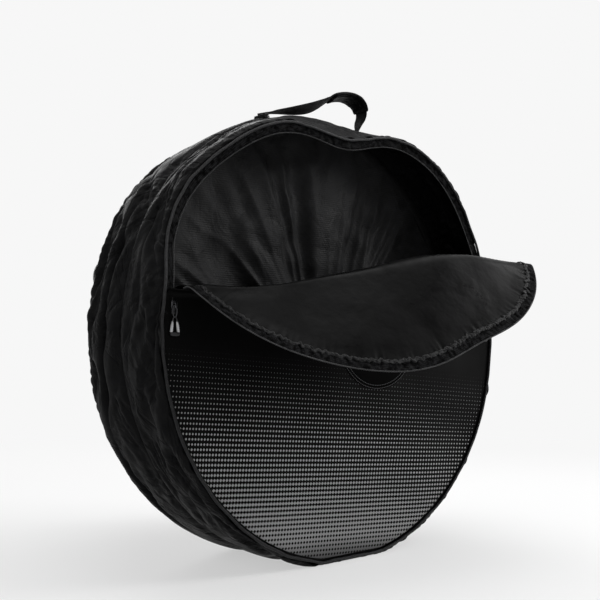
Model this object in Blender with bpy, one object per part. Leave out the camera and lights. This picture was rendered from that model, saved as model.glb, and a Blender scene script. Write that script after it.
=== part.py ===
"""A soft round bag with two padded compartments side by side, for things as flat and round as itself.

It stands on its flattened base, with the flap of each round face unzipped and folded forward.
X runs to the right seen from the front, the front face looks along -Y, and Z points up.
Lengths are in metres. The origin lies on the ground, under the middle of the bag.

Each face is modelled flat, as it lies when the zip is closed, in coordinates x, f and z: f is the
distance in front of the face and z is the height above the bag's round axis. Two empties fold the
flap open. The rear face is the front one turned half round about the vertical.
"""

import math

import bmesh
import bpy
import numpy as np
from mathutils import Matrix, Vector

# The bag
BAG_RADIUS = 0.362
BAG_DEPTH = 0.194
BASE_CHORD = 0.130
GUSSET_WALL = 0.004
SEAM_DRAW = 0.003
SEAM_RUN = 0.022
CLEARANCE = 0.0003
PIPING_RADIUS = 0.0022
DIVIDER_THICKNESS = 0.003
BINDING_WALL = 0.0008
BINDING_DEPTH = 0.014

# The layers of a face
SKIN = 0.0012
FOAM = 0.004
LINING = 0.0008
PATCH_RADIUS = 0.098
PATCH_X = 0.045
PATCH_RISE = 0.010
PATCH_THICKNESS = 0.0006

# The zip
ZIP_INSET = 0.022
ZIP_END_RISE = 0.022
COIL_RADIUS = 0.0011
COIL_GAP = 0.0016
TAPE_THICKNESS = 0.0008
FLAP_TAPE_WIDTH = 0.013
FLAP_TAPE_START_RISE = 0.080
STOP_LENGTH = 0.005
STOP_WIDTH = 0.0046
NOTCH_GAP = 0.001

# The folds of a flap
FOLD_RISE = 0.050
CREASE_LEFT_RISE = 0.072
CREASE_RIGHT_RISE = 0.233
FOLD_GAP = 0.0004
FOLD_OPEN = math.radians(67)
CREASE_OPEN = math.radians(68)

# A zip slider and its puller
SLIDER_LENGTH = 0.014
SLIDER_WIDTH = 0.012
SLIDER_TAIL_SHARE = 0.72
SLIDER_PLATE = 0.0011
SLIDER_POST_WIDTH = 0.0009
SLIDER_POST_LENGTH = 0.004
SLIDER_RISE = 0.0345
BRIDGE_WIDTH = 0.0024
BRIDGE_LEG = 0.0018
BRIDGE_HOLE = 0.0026
BRIDGE_SPAN = 0.0044
BRIDGE_BAR = 0.0012
PULL_CORD_RADIUS = 0.0009
PULL_CORD_SPREAD = 0.0084
PULL_CORD_LENGTH = 0.036
GRIP_WIDTH = 0.0122
GRIP_LENGTH = 0.0065
GRIP_THICKNESS = 0.0042
GRIP_WIDTH_SHARES = ((0.0, 0.86), (0.12, 1.0), (0.45, 0.9), (0.85, 0.75), (1.0, 0.45))

# The carrying handle
HANDLE_HALF_SPAN = 0.108
HANDLE_RISE = 0.056
STRAP_WIDTH = 0.025
STRAP_THICKNESS = 0.0022
WRAP_WIDTH = 0.034
WRAP_WALL = 0.0030
TAB_LENGTH = 0.014
TAB_WIDTH = 0.030
TAB_HEIGHT = 0.008
STRAP_END_WIDTH = 0.003
STRAP_SEAT_GAP = 0.0007
STRAP_PATH_SHARES = (
    (-1.05, 0.00),
    (-0.95, 0.00),
    (-0.80, 0.03),
    (-0.50, 0.10),
    (-0.15, 0.32),
    (0.15, 0.58),
    (0.45, 0.86),
    (0.70, 0.99),
    (0.88, 0.95),
    (0.96, 0.66),
    (0.93, 0.24),
    (0.96, 0.02),
    (1.05, 0.00),
)
STRAP_WIDTH_SHARES = ((0.0, 0.0), (0.10, 0.0), (0.17, 1.0), (0.79, 1.0), (0.885, 0.0), (1.0, 0.0))
WRAP_SPAN_SHARES = (0.475, 0.725)

# How finely round forms are divided
OUTLINE_STEPS = 72
COIL_SIDES = 6
CORD_SIDES = 8
STRAP_STEPS = 40
PULL_BEND_STEPS = 8
SHARPEST_SMOOTH_EDGE = math.radians(35)

# Sizes that follow from the ones above
AXIS_HEIGHT = math.sqrt(BAG_RADIUS**2 - (BASE_CHORD / 2) ** 2)
HALF_DEPTH = BAG_DEPTH / 2
RIM_INSET = SEAM_DRAW + GUSSET_WALL + CLEARANCE
RIM_RADIUS = BAG_RADIUS - RIM_INSET
ZIP_RADIUS = BAG_RADIUS - ZIP_INSET
SKIN_BACK = -SKIN
FOAM_FRONT = SKIN_BACK - CLEARANCE
FOAM_BACK = FOAM_FRONT - FOAM
LINING_FRONT = FOAM_BACK - CLEARANCE
LINING_BACK = LINING_FRONT - LINING
ZIP_PLANE = -SKIN / 2
SHELL_COIL_RADIUS = ZIP_RADIUS + COIL_GAP / 2 + COIL_RADIUS
FLAP_COIL_RADIUS = ZIP_RADIUS - COIL_GAP / 2 - COIL_RADIUS
SHELL_TAPE_INNER = SHELL_COIL_RADIUS + COIL_RADIUS + CLEARANCE
FLAP_TAPE_OUTER = FLAP_COIL_RADIUS - COIL_RADIUS - CLEARANCE
FLAP_TAPE_INNER = FLAP_TAPE_OUTER - FLAP_TAPE_WIDTH
FLAP_RADIUS = FLAP_TAPE_INNER - CLEARANCE
FOLD_AXIS_F = CLEARANCE
CHANNEL = 2 * (COIL_RADIUS + CLEARANCE)
NOTCH_X = math.sqrt((ZIP_RADIUS - SLIDER_WIDTH / 2 - NOTCH_GAP) ** 2 - FOLD_RISE**2)
CREASE_SLOPE = (CREASE_RIGHT_RISE - CREASE_LEFT_RISE) / (2 * FLAP_COIL_RADIUS)
CREASE_TILT = math.atan(CREASE_SLOPE)
CREASE_MIDDLE_RISE = (CREASE_LEFT_RISE + CREASE_RIGHT_RISE) / 2
TAB_ANGLE = math.asin(HANDLE_HALF_SPAN / BAG_RADIUS)
TAB_SEAT = BAG_RADIUS - SEAM_DRAW * (1 - TAB_WIDTH / 2 / SEAM_RUN) + CLEARANCE
HANDLE_PIVOT_RISE = (TAB_SEAT + TAB_HEIGHT + STRAP_SEAT_GAP + STRAP_THICKNESS / 2) * math.cos(TAB_ANGLE)

COLOURS = {
    "nylon": ((0.018, 0.018, 0.019), 0.62, 0.0),
    "vinyl": ((0.030, 0.030, 0.032), 0.38, 0.0),
    "coated_lining": ((0.014, 0.014, 0.015), 0.34, 0.0),
    "foam": ((0.060, 0.060, 0.062), 0.90, 0.0),
    "zip_tape": ((0.050, 0.050, 0.054), 0.78, 0.0),
    "zip_coil": ((0.022, 0.022, 0.023), 0.42, 0.0),
    "piping": ((0.070, 0.070, 0.074), 0.45, 0.0),
    "webbing": ((0.016, 0.016, 0.017), 0.70, 0.0),
    "slider_metal": ((0.090, 0.090, 0.095), 0.28, 1.0),
    "pull_cord": ((0.520, 0.520, 0.530), 0.50, 0.0),
    "pull_grip": ((0.020, 0.020, 0.021), 0.45, 0.0),
}


# Materials and objects


def clear_scene():
    """Removes every object that the scene starts with."""
    for obj in list(bpy.data.objects):
        bpy.data.objects.remove(obj, do_unlink=True)


def material(name, finish):
    """A Principled material with the colour, roughness and metallic value of a finish."""
    colour, roughness, metallic = COLOURS[finish]
    made = bpy.data.materials.new(name)
    made.use_nodes = True
    shader = made.node_tree.nodes["Principled BSDF"]
    shader.inputs["Base Color"].default_value = (*colour, 1.0)
    shader.inputs["Roughness"].default_value = roughness
    shader.inputs["Metallic"].default_value = metallic
    made.diffuse_color = (*colour, 1.0)
    return made


def empty(name, parent, place):
    """An empty at a matrix given in its parent's own coordinates."""
    made = bpy.data.objects.new(name, None)
    bpy.context.scene.collection.objects.link(made)
    made.parent = parent
    made.matrix_basis = place
    return made


def add(name, mesh, finish, parent, place=None):
    """An object that shows a mesh under a parent, smooth on its round faces."""
    made = bpy.data.objects.new(name, mesh)
    bpy.context.scene.collection.objects.link(made)
    made.parent = parent
    if place is not None:
        made.matrix_basis = place
    if not mesh.materials:
        mesh.shade_smooth()
        mesh.set_sharp_from_angle(angle=SHARPEST_SMOOTH_EDGE)
        mesh.materials.append(material(name, finish))
    return made


def finished(shape, name):
    """A mesh from a bmesh, with its faces turned outwards."""
    bmesh.ops.recalc_face_normals(shape, faces=shape.faces)
    mesh = bpy.data.meshes.new(name)
    shape.to_mesh(mesh)
    shape.free()
    return mesh


# Outlines


def bag_outline(inset):
    """Points x, z of the bag's outline, drawn in by an inset: a circle with a flat base."""
    radius = BAG_RADIUS - inset
    flat = AXIS_HEIGHT - inset
    start = -math.asin(flat / radius)
    angles = np.linspace(start, math.pi - start, OUTLINE_STEPS + 1)
    return [(radius * math.cos(a), radius * math.sin(a)) for a in angles]


def arc_points(radius, start, end, steps):
    """Points x, z on a circle about the bag's axis."""
    return [(radius * math.cos(a), radius * math.sin(a)) for a in np.linspace(start, end, steps + 1)]


def rise_angle(radius, rise):
    """The angle at which a circle about the axis reaches a height, on its right side."""
    return math.asin(rise / radius)


def crease_rise(x, beyond):
    """The height of the crease at x, shifted square to the crease by a distance."""
    return CREASE_MIDDLE_RISE + CREASE_SLOPE * x + beyond / math.cos(CREASE_TILT)


def crease_angles(radius, beyond):
    """The two angles, right and left, at which a circle meets the shifted crease."""
    reach = math.asin(crease_rise(0, beyond) * math.cos(CREASE_TILT) / radius)
    return CREASE_TILT + reach, math.pi - reach + CREASE_TILT


# Solids


def plate(name, outline, front, back):
    """A flat sheet: an outline in x and z, between two distances from the face."""
    shape = bmesh.new()
    corners = [shape.verts.new((x, -front, z)) for x, z in outline]
    face = shape.faces.new(corners)
    pushed = bmesh.ops.extrude_face_region(shape, geom=[face])["geom"]
    moved = [item for item in pushed if isinstance(item, bmesh.types.BMVert)]
    bmesh.ops.translate(shape, verts=moved, vec=(0, front - back, 0))
    return finished(shape, name)


def loops_to_mesh(name, loops, closed):
    """A tube through loops of points, each of as many points. Its ends are capped unless it closes on itself."""
    shape = bmesh.new()
    rows = [[shape.verts.new(point) for point in loop] for loop in loops]
    pairs = list(zip(rows, rows[1:]))
    if closed:
        pairs.append((rows[-1], rows[0]))
    for row, following in pairs:
        for k in range(len(row)):
            after = (k + 1) % len(row)
            shape.faces.new((row[k], row[after], following[after], following[k]))
    if not closed:
        shape.faces.new(rows[0])
        shape.faces.new(rows[-1])
    return finished(shape, name)


def ring(name, profile):
    """A profile of points inset, y carried round the bag's outline."""
    loops = [[(x, y, z) for x, z in bag_outline(inset)] for inset, y in profile]
    return loops_to_mesh(name, loops, closed=True)


def arc_sweep(name, profile, start, end, steps):
    """A profile of points radius, f carried along an arc about the bag's axis."""
    loops = [
        [(r * math.cos(a), -f, r * math.sin(a)) for r, f in profile]
        for a in np.linspace(start, end, steps + 1)
    ]
    return loops_to_mesh(name, loops, closed=False)


def round_profile(radius, f, thick, sides):
    """A small round section at a radius and a distance from the face."""
    turns = [2 * math.pi * k / sides for k in range(sides)]
    return [(radius + thick * math.cos(t), f + thick * math.sin(t)) for t in turns]


def flat_profile(inner, outer, f, thickness):
    """A thin oblong section, centred on a distance from the face."""
    half = thickness / 2
    return [(inner, f - half), (outer, f - half), (outer, f + half), (inner, f + half)]


def cells(name, xs, ys, zs, filled, taper):
    """The closed skin of filled boxes of a grid. taper maps a corner to its final place."""
    shape = bmesh.new()
    corners = {}

    def corner(i, j, k):
        if (i, j, k) not in corners:
            corners[i, j, k] = shape.verts.new(taper(xs[i], ys[j], zs[k]))
        return corners[i, j, k]

    sides = {
        (-1, 0, 0): ((0, 0, 0), (0, 0, 1), (0, 1, 1), (0, 1, 0)),
        (1, 0, 0): ((1, 0, 0), (1, 1, 0), (1, 1, 1), (1, 0, 1)),
        (0, -1, 0): ((0, 0, 0), (1, 0, 0), (1, 0, 1), (0, 0, 1)),
        (0, 1, 0): ((0, 1, 0), (0, 1, 1), (1, 1, 1), (1, 1, 0)),
        (0, 0, -1): ((0, 0, 0), (0, 1, 0), (1, 1, 0), (1, 0, 0)),
        (0, 0, 1): ((0, 0, 1), (1, 0, 1), (1, 1, 1), (0, 1, 1)),
    }
    for i, j, k in filled:
        for (di, dj, dk), square in sides.items():
            if (i + di, j + dj, k + dk) not in filled:
                shape.faces.new([corner(i + a, j + b, k + c) for a, b, c in square])
    return finished(shape, name)


def smooth_path(points, steps):
    """Evenly numbered points of a smooth curve through given points (Catmull-Rom)."""
    known = np.array(points, float)
    padded = np.vstack([2 * known[0] - known[1], known, 2 * known[-1] - known[-2]])
    t = np.linspace(0, len(known) - 1, steps + 1)
    k = np.minimum(t.astype(int), len(known) - 2)
    u = (t - k)[:, None]
    a, b, c, d = (padded[k + shift] for shift in range(4))
    return 0.5 * (2 * b + (c - a) * u + (2 * a - 5 * b + 4 * c - d) * u**2 + (3 * b - a - 3 * c + d) * u**3)


def carried(path, section):
    """Loops of a section of points side, up along a path in the plane x, z; side runs along y."""
    tangents = np.gradient(path, axis=0)
    tangents /= np.linalg.norm(tangents, axis=1)[:, None]
    return [
        [(x - up * tz, side, z + up * tx) for side, up in section]
        for (x, z), (tx, tz) in zip(path, tangents)
    ]


# The shell


def gusset(name):
    """The padded side wall between a face and the middle seam, drawn in along both seams."""
    outer = [
        (SEAM_DRAW, -HALF_DEPTH),
        (0, SEAM_RUN - HALF_DEPTH),
        (0, -SEAM_RUN),
        (SEAM_DRAW, -CLEARANCE / 2),
    ]
    inner = [(inset + GUSSET_WALL, y) for inset, y in reversed(outer)]
    return ring(name, outer + inner)


def piping(name):
    """The round corded edge along the seam between the gusset and a face."""
    inset = SEAM_DRAW + GUSSET_WALL / 2
    f = CLEARANCE + PIPING_RADIUS
    turns = [2 * math.pi * k / COIL_SIDES for k in range(COIL_SIDES)]
    profile = [
        (inset + PIPING_RADIUS * math.cos(t), -HALF_DEPTH - f - PIPING_RADIUS * math.sin(t)) for t in turns
    ]
    return ring(name, profile)


def divider(name):
    """The padded wall between the two compartments."""
    inset = RIM_INSET + BINDING_WALL + CLEARANCE
    return plate(name, bag_outline(inset), DIVIDER_THICKNESS / 2, -DIVIDER_THICKNESS / 2)


def divider_binding(name):
    """The tape folded over the divider's edge, where it is sewn in with the middle seam."""
    outside = DIVIDER_THICKNESS / 2 + CLEARANCE + BINDING_WALL
    inside = DIVIDER_THICKNESS / 2 + CLEARANCE
    lip = RIM_INSET + BINDING_DEPTH
    slot = RIM_INSET + BINDING_WALL
    profile = [
        (RIM_INSET, -outside),
        (RIM_INSET, outside),
        (lip, outside),
        (lip, inside),
        (slot, inside),
        (slot, -inside),
        (lip, -inside),
        (lip, -outside),
    ]
    return ring(name, profile)


def lower_outline():
    """The part of a face below the fold, with a notch beside each end of the zip."""
    start = -math.asin((AXIS_HEIGHT - RIM_INSET) / RIM_RADIUS)
    end = rise_angle(RIM_RADIUS, ZIP_END_RISE)
    right = arc_points(RIM_RADIUS, start, end, OUTLINE_STEPS // 2)
    top = FOLD_RISE - FOLD_GAP
    right += [(NOTCH_X, ZIP_END_RISE), (NOTCH_X, top)]
    return right + [(-x, z) for x, z in reversed(right)]


def fold_outline(radius):
    """The part of a flap between the fold and the crease, inside a radius."""
    low = FOLD_RISE + FOLD_GAP
    right, left = crease_angles(radius, -FOLD_GAP)
    start = rise_angle(radius, low)
    points = arc_points(radius, start, right, OUTLINE_STEPS // 8)
    if left > math.pi - start:
        return points + [(low_crossing(low), low)]
    return points + arc_points(radius, left, math.pi - start, 2)


def low_crossing(rise):
    """The x at which the crease comes down to a height."""
    return (rise - crease_rise(0, -FOLD_GAP)) / CREASE_SLOPE


def flap_outline(radius):
    """The part of a flap beyond the crease, inside a radius."""
    right, left = crease_angles(radius, FOLD_GAP)
    return arc_points(radius, right, left, OUTLINE_STEPS // 2)


def patch_outline(low, high):
    """The smooth round patch on a face, below or above the fold."""
    middle = (PATCH_X, PATCH_RISE)
    if high is not None:
        start = math.pi - math.asin((high - middle[1]) / PATCH_RADIUS)
        end = 3 * math.pi - start
    else:
        start = math.asin((low - middle[1]) / PATCH_RADIUS)
        end = math.pi - start
    return [
        (middle[0] + PATCH_RADIUS * math.cos(a), middle[1] + PATCH_RADIUS * math.sin(a))
        for a in np.linspace(start, end, OUTLINE_STEPS // 2)
    ]


def layers(prefix, outline):
    """The outer skin, the foam and the lining of a padded panel, as names, meshes and finishes."""
    return [
        (prefix + "_skin", plate(prefix + "_skin", outline, 0, SKIN_BACK), "vinyl"),
        (prefix + "_foam", plate(prefix + "_foam", outline, FOAM_FRONT, FOAM_BACK), "foam"),
        (prefix + "_lining", plate(prefix + "_lining", outline, LINING_FRONT, LINING_BACK), "coated_lining"),
    ]


def zip_row(prefix, tape, coil_radius, start, end, steps):
    """One half of the zip along an arc: its woven tape and its coil."""
    inner, outer = tape
    tape_section = flat_profile(inner, outer, ZIP_PLANE, TAPE_THICKNESS)
    coil_section = round_profile(coil_radius, ZIP_PLANE, COIL_RADIUS, COIL_SIDES)
    return [
        (prefix + "_tape", arc_sweep(prefix + "_tape", tape_section, start, end, steps), "zip_tape"),
        (prefix + "_coil", arc_sweep(prefix + "_coil", coil_section, start, end, steps), "zip_coil"),
    ]


def shell_zip():
    """The fixed half of the zip, from one side of the bag over the top to the other."""
    start = rise_angle(ZIP_RADIUS, ZIP_END_RISE + CLEARANCE)
    tape = (SHELL_TAPE_INNER, RIM_RADIUS)
    return zip_row("zip", tape, SHELL_COIL_RADIUS, start, math.pi - start, OUTLINE_STEPS // 2)


def zip_stop(name, sign):
    """The crimped stop at one end of the coil, inside the notch."""
    middle = ZIP_RADIUS - COIL_GAP / 2 - STOP_WIDTH / 2
    low = ZIP_END_RISE + CLEARANCE
    x = sign * math.sqrt(middle**2 - low**2)
    half = STOP_WIDTH / 2
    outline = [(x - half, low), (x + half, low), (x + half, low + STOP_LENGTH), (x - half, low + STOP_LENGTH)]
    return plate(name, outline, ZIP_PLANE + COIL_RADIUS, ZIP_PLANE - COIL_RADIUS)


# The flap


def fold_zip():
    """The flap's half of the zip between the fold and the crease, on the right."""
    right, _ = crease_angles(FLAP_COIL_RADIUS, -2 * FOLD_GAP)
    start = rise_angle(FLAP_COIL_RADIUS, FLAP_TAPE_START_RISE)
    tape = (FLAP_TAPE_INNER, FLAP_TAPE_OUTER)
    return zip_row("flap_base", tape, FLAP_COIL_RADIUS, start, right, OUTLINE_STEPS // 12)


def flap_zip():
    """The flap's half of the zip beyond the crease."""
    right, _ = crease_angles(FLAP_COIL_RADIUS, 2 * FOLD_GAP)
    end = math.pi - rise_angle(FLAP_COIL_RADIUS, FLAP_TAPE_START_RISE)
    tape = (FLAP_TAPE_INNER, FLAP_TAPE_OUTER)
    return zip_row("flap", tape, FLAP_COIL_RADIUS, right, end, OUTLINE_STEPS // 2)


# Sliders and pullers


def slider_mesh():
    """Two plates joined by a narrow post, with a bridge for the puller. It runs along z, and f is forward."""
    half = SLIDER_WIDTH / 2
    xs = (-half, -BRIDGE_WIDTH / 2, -SLIDER_POST_WIDTH / 2, SLIDER_POST_WIDTH / 2, BRIDGE_WIDTH / 2, half)
    hole = BRIDGE_SPAN / 2
    leg = hole + BRIDGE_LEG
    tip = SLIDER_LENGTH / 2
    zs = (-tip, -leg, -hole, hole, leg, tip - SLIDER_POST_LENGTH / 2, tip)
    floor = CHANNEL / 2
    top = floor + SLIDER_PLATE
    fs = (-top, -floor, floor, top, top + BRIDGE_HOLE, top + BRIDGE_HOLE + BRIDGE_BAR)
    columns = range(len(xs) - 1)
    rows = range(len(zs) - 1)
    filled = {(i, level, k) for i in columns for k in rows for level in (0, 2)}
    filled |= {(2, 1, len(zs) - 2)}
    filled |= {(i, 3, k) for i in (1, 2, 3) for k in (1, 3)}
    filled |= {(i, 4, k) for i in (1, 2, 3) for k in (1, 2, 3)}

    def taper(x, f, z):
        """Narrows the plates towards the tail, which is the lower end."""
        share = SLIDER_TAIL_SHARE + (1 - SLIDER_TAIL_SHARE) * (z + tip) / (2 * tip)
        return (x * share if abs(x) == half else x, -f, z)

    return cells("slider", xs, fs, zs, filled, taper)


def pull_cord_mesh():
    """A cord that goes through the bridge, with both legs hanging down to the grip."""
    half = PULL_CORD_SPREAD / 2
    bend = [
        (half * math.cos(a), -(half - half * math.sin(a))) for a in np.linspace(math.pi, 0, PULL_BEND_STEPS + 1)
    ]
    bend = [(-half, -PULL_CORD_LENGTH)] + bend + [(half, -PULL_CORD_LENGTH)]
    path = np.array(bend)
    turns = [2 * math.pi * k / CORD_SIDES for k in range(CORD_SIDES)]
    section = [(PULL_CORD_RADIUS * math.cos(t), PULL_CORD_RADIUS * math.sin(t)) for t in turns]
    return loops_to_mesh("pull_cord", carried(path, section), closed=False)


def grip_mesh():
    """The moulded end that holds both legs of the cord, narrower at its foot."""
    top = -PULL_CORD_LENGTH - CLEARANCE
    half = GRIP_WIDTH / 2
    deep = GRIP_THICKNESS / 2
    loops = []
    for along, wide in GRIP_WIDTH_SHARES:
        z = top - along * GRIP_LENGTH
        x, y = half * wide, deep * wide
        loops.append([(-x, -y, z), (x, -y, z), (x, y, z), (-x, y, z)])
    return loops_to_mesh("pull_grip", loops, closed=False)


# The handle


def handle_path():
    """The strap's middle line: flat on the left tab, up to the hand and down onto the right tab."""
    seat = TAB_SEAT + TAB_HEIGHT + STRAP_SEAT_GAP + STRAP_THICKNESS / 2
    points = []
    for around, up in STRAP_PATH_SHARES:
        angle = around * TAB_ANGLE
        radius = seat + HANDLE_RISE * up
        points.append((radius * math.sin(angle), radius * math.cos(angle)))
    return smooth_path(points, STRAP_STEPS)


def strap_mesh():
    """The webbing strap, gathered to a narrow end on each tab."""
    path = handle_path()
    along, shares = zip(*STRAP_WIDTH_SHARES)
    spread = np.interp(np.linspace(0, 1, STRAP_STEPS + 1), along, shares)
    widths = STRAP_END_WIDTH + (STRAP_WIDTH - STRAP_END_WIDTH) * spread
    up = STRAP_THICKNESS / 2
    corners = [(-0.5, -up), (0.5, -up), (0.5, up), (-0.5, up)]
    loops = carried(path, corners)
    loops = [[(x, share * width, z) for x, share, z in loop] for loop, width in zip(loops, widths)]
    return loops_to_mesh("handle_strap", loops, closed=False)


def wrap_mesh():
    """The padded sleeve round the strap, where the hand goes. Its bore clears the webbing."""
    side, up = STRAP_WIDTH / 2 + CLEARANCE, STRAP_THICKNESS / 2 + CLEARANCE
    wide, tall = WRAP_WIDTH / 2, up + WRAP_WALL
    outer = [(-side, -tall), (0, -tall), (side, -tall), (wide, 0), (side, tall), (0, tall), (-side, tall), (-wide, 0)]
    inner = [(-side, -up), (0, -up), (side, -up), (side, 0), (side, up), (0, up), (-side, up), (-side, 0)]
    first, last = (round(share * STRAP_STEPS) for share in WRAP_SPAN_SHARES)
    outsides, insides = (carried(handle_path(), section)[first : last + 1] for section in (outer, inner))
    loops = outsides + insides[::-1]
    return loops_to_mesh("handle_wrap", loops, closed=True)


def tab_mesh(sign):
    """A folded webbing block sewn to the top of the bag, which holds one end of the strap."""
    shape = bmesh.new()
    size = Matrix.Diagonal((TAB_LENGTH, TAB_WIDTH, TAB_HEIGHT, 1))
    lift = Matrix.Translation((0, 0, TAB_SEAT + TAB_HEIGHT / 2))
    bmesh.ops.create_cube(shape, size=1, matrix=Matrix.Rotation(sign * TAB_ANGLE, 4, "Y") @ lift @ size)
    return finished(shape, "handle_tab")


# Assembly


def build_face(side, turn, shared):
    """All pieces of one round face and its flap, under empties for its fold and its crease."""
    middle = Matrix.Translation((0, 0, AXIS_HEIGHT)) @ Matrix.Rotation(turn, 4, "Z")
    face = empty(side + "_face", None, middle @ Matrix.Translation((0, -HALF_DEPTH, 0)))
    hinge = Matrix.Translation((0, -FOLD_AXIS_F, FOLD_RISE))
    fold = empty(side + "_fold", face, hinge @ Matrix.Rotation(FOLD_OPEN, 4, "X"))
    back = hinge.inverted()
    axis = Vector((math.cos(CREASE_TILT), 0, math.sin(CREASE_TILT)))
    line = Matrix.Translation((0, -FOLD_AXIS_F, CREASE_MIDDLE_RISE))
    swing = line @ Matrix.Rotation(CREASE_OPEN, 4, axis)
    crease = empty(side + "_crease", fold, back @ swing)
    from_line = line.inverted()
    for group, parent, place in (("face", face, None), ("fold", fold, back), ("flap", crease, from_line)):
        for name, mesh, finish in shared[group]:
            add(side + "_" + name, mesh, finish, parent, place)
    return face


def build_slider(side, hand, face, shared):
    """A slider with its puller, on the left or the right end of a zip."""
    sign = -1 if hand == "left" else 1
    x = sign * math.sqrt(ZIP_RADIUS**2 - SLIDER_RISE**2)
    lean = -sign * math.asin(SLIDER_RISE / ZIP_RADIUS)
    seat = Matrix.Translation((x, -ZIP_PLANE, SLIDER_RISE)) @ Matrix.Rotation(lean, 4, "Y")
    name = side + "_" + hand
    add(name + "_slider", shared["slider"], "slider_metal", face, seat)
    forward = CHANNEL / 2 + SLIDER_PLATE + BRIDGE_HOLE / 2
    pivot = Matrix.Translation((x, -ZIP_PLANE - forward, SLIDER_RISE))
    add(name + "_pull_cord", shared["pull_cord"], "pull_cord", face, pivot)
    add(name + "_pull_grip", shared["pull_grip"], "pull_grip", face, pivot)


def build_bag():
    """The whole bag."""
    clear_scene()
    patch = (PATCH_THICKNESS + CLEARANCE, CLEARANCE)
    shared = {
        "face": layers("panel", lower_outline())
        + shell_zip()
        + [
            ("zip_stop_left", zip_stop("zip_stop_left", -1), "slider_metal"),
            ("zip_stop_right", zip_stop("zip_stop_right", 1), "slider_metal"),
            ("round_patch", plate("round_patch", patch_outline(None, FOLD_RISE - 2 * FOLD_GAP), *patch), "vinyl"),
        ],
        "fold": layers("flap_base", fold_outline(FLAP_RADIUS))
        + fold_zip()
        + [("round_patch_top", plate("round_patch_top", patch_outline(FOLD_RISE + 2 * FOLD_GAP, None), *patch), "vinyl")],
        "flap": layers("flap", flap_outline(FLAP_RADIUS)) + flap_zip(),
        "slider": slider_mesh(),
        "pull_cord": pull_cord_mesh(),
        "pull_grip": grip_mesh(),
    }
    axis = empty("bag_axis", None, Matrix.Translation((0, 0, AXIS_HEIGHT)))
    half_turn = Matrix.Rotation(math.pi, 4, "Z")
    for name, mesh, finish in (("gusset", gusset("gusset"), "nylon"), ("piping", piping("piping"), "piping")):
        add("front_" + name, mesh, finish, axis)
        add("rear_" + name, mesh, finish, axis, half_turn)
    add("divider", divider("divider"), "nylon", axis)
    add("divider_binding", divider_binding("divider_binding"), "webbing", axis)
    add("handle_tab_left", tab_mesh(-1), "webbing", axis)
    add("handle_tab_right", tab_mesh(1), "webbing", axis)
    pivot = Matrix.Translation((0, 0, HANDLE_PIVOT_RISE))
    handle = empty("handle_pivot", axis, pivot)
    add("handle_strap", strap_mesh(), "webbing", handle, pivot.inverted())
    add("handle_wrap", wrap_mesh(), "webbing", handle, pivot.inverted())
    for side, turn in (("front", 0.0), ("rear", math.pi)):
        face = build_face(side, turn, shared)
        for hand in ("left", "right"):
            build_slider(side, hand, face, shared)
    bpy.context.view_layer.update()


build_bag()
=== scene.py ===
"""The looks of a soft round bag with two compartments, its flaps unzipped and folded forward.

A face of the bag is worked out flat, in x, w and f: x to the right, w the height above the bag's
round axis, and f the distance in front of the face. The folds of the flap then bend it into place.
The rear face is the front one turned half round about the vertical. Lengths are in metres.
"""

import math

import bpy
import numpy as np
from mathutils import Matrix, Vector


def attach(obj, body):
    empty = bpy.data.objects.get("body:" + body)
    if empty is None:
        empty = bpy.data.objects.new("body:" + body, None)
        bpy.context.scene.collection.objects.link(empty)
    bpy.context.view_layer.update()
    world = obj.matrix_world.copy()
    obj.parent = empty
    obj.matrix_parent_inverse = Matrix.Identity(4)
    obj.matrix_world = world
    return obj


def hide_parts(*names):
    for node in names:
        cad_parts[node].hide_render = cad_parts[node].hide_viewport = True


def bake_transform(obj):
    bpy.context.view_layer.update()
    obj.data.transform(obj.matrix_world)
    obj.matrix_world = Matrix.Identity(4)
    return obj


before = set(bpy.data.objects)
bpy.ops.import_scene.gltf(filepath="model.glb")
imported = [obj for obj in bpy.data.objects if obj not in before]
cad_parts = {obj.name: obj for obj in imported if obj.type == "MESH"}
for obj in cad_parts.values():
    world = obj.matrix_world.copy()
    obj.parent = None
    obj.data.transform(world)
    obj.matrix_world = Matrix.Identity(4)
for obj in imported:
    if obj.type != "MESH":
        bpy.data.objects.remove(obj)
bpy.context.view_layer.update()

# Sizes of the bag, as it is built
BAG_RADIUS = 0.362
HALF_DEPTH = 0.097
AXIS_HEIGHT = math.sqrt(BAG_RADIUS**2 - 0.065**2)
SEAM_DRAW = 0.003
RIM_RADIUS = 0.3547
PADDING = 0.0066
ZIP_RADIUS = 0.340
COIL_RADIUS = 0.0011
SHELL_COIL_RADIUS = 0.3419
FLAP_COIL_RADIUS = 0.3381
SHELL_TAPE_INNER = 0.3433
FLAP_TAPE_OUTER = 0.3367
FLAP_TAPE_INNER = 0.3237
ZIP_END_RISE = 0.022
SLIDER_RISE = 0.0345
SLIDER_TURN = math.asin(SLIDER_RISE / ZIP_RADIUS)
PIPING_RADIUS = 0.0022
PATCH_RADIUS = 0.098
PATCH_MIDDLE = (0.045, 0.010)
HANDLE_TURN = math.asin(0.108 / BAG_RADIUS)
HANDLE_RISE = 0.056
TAB_SEAT = BAG_RADIUS - SEAM_DRAW * (1 - 0.015 / 0.022) + 0.0003

# The strap's path: shares of the handle's half span and of its rise
STRAP_PATH_SHARES = (
    (-1.05, 0.00), (-0.95, 0.00), (-0.80, 0.01), (-0.50, 0.03), (-0.15, 0.17), (0.15, 0.43), (0.42, 0.80),
    (0.66, 0.99), (0.86, 0.96), (0.96, 0.68), (0.94, 0.25), (0.96, 0.02), (1.05, 0.00),
)

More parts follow.
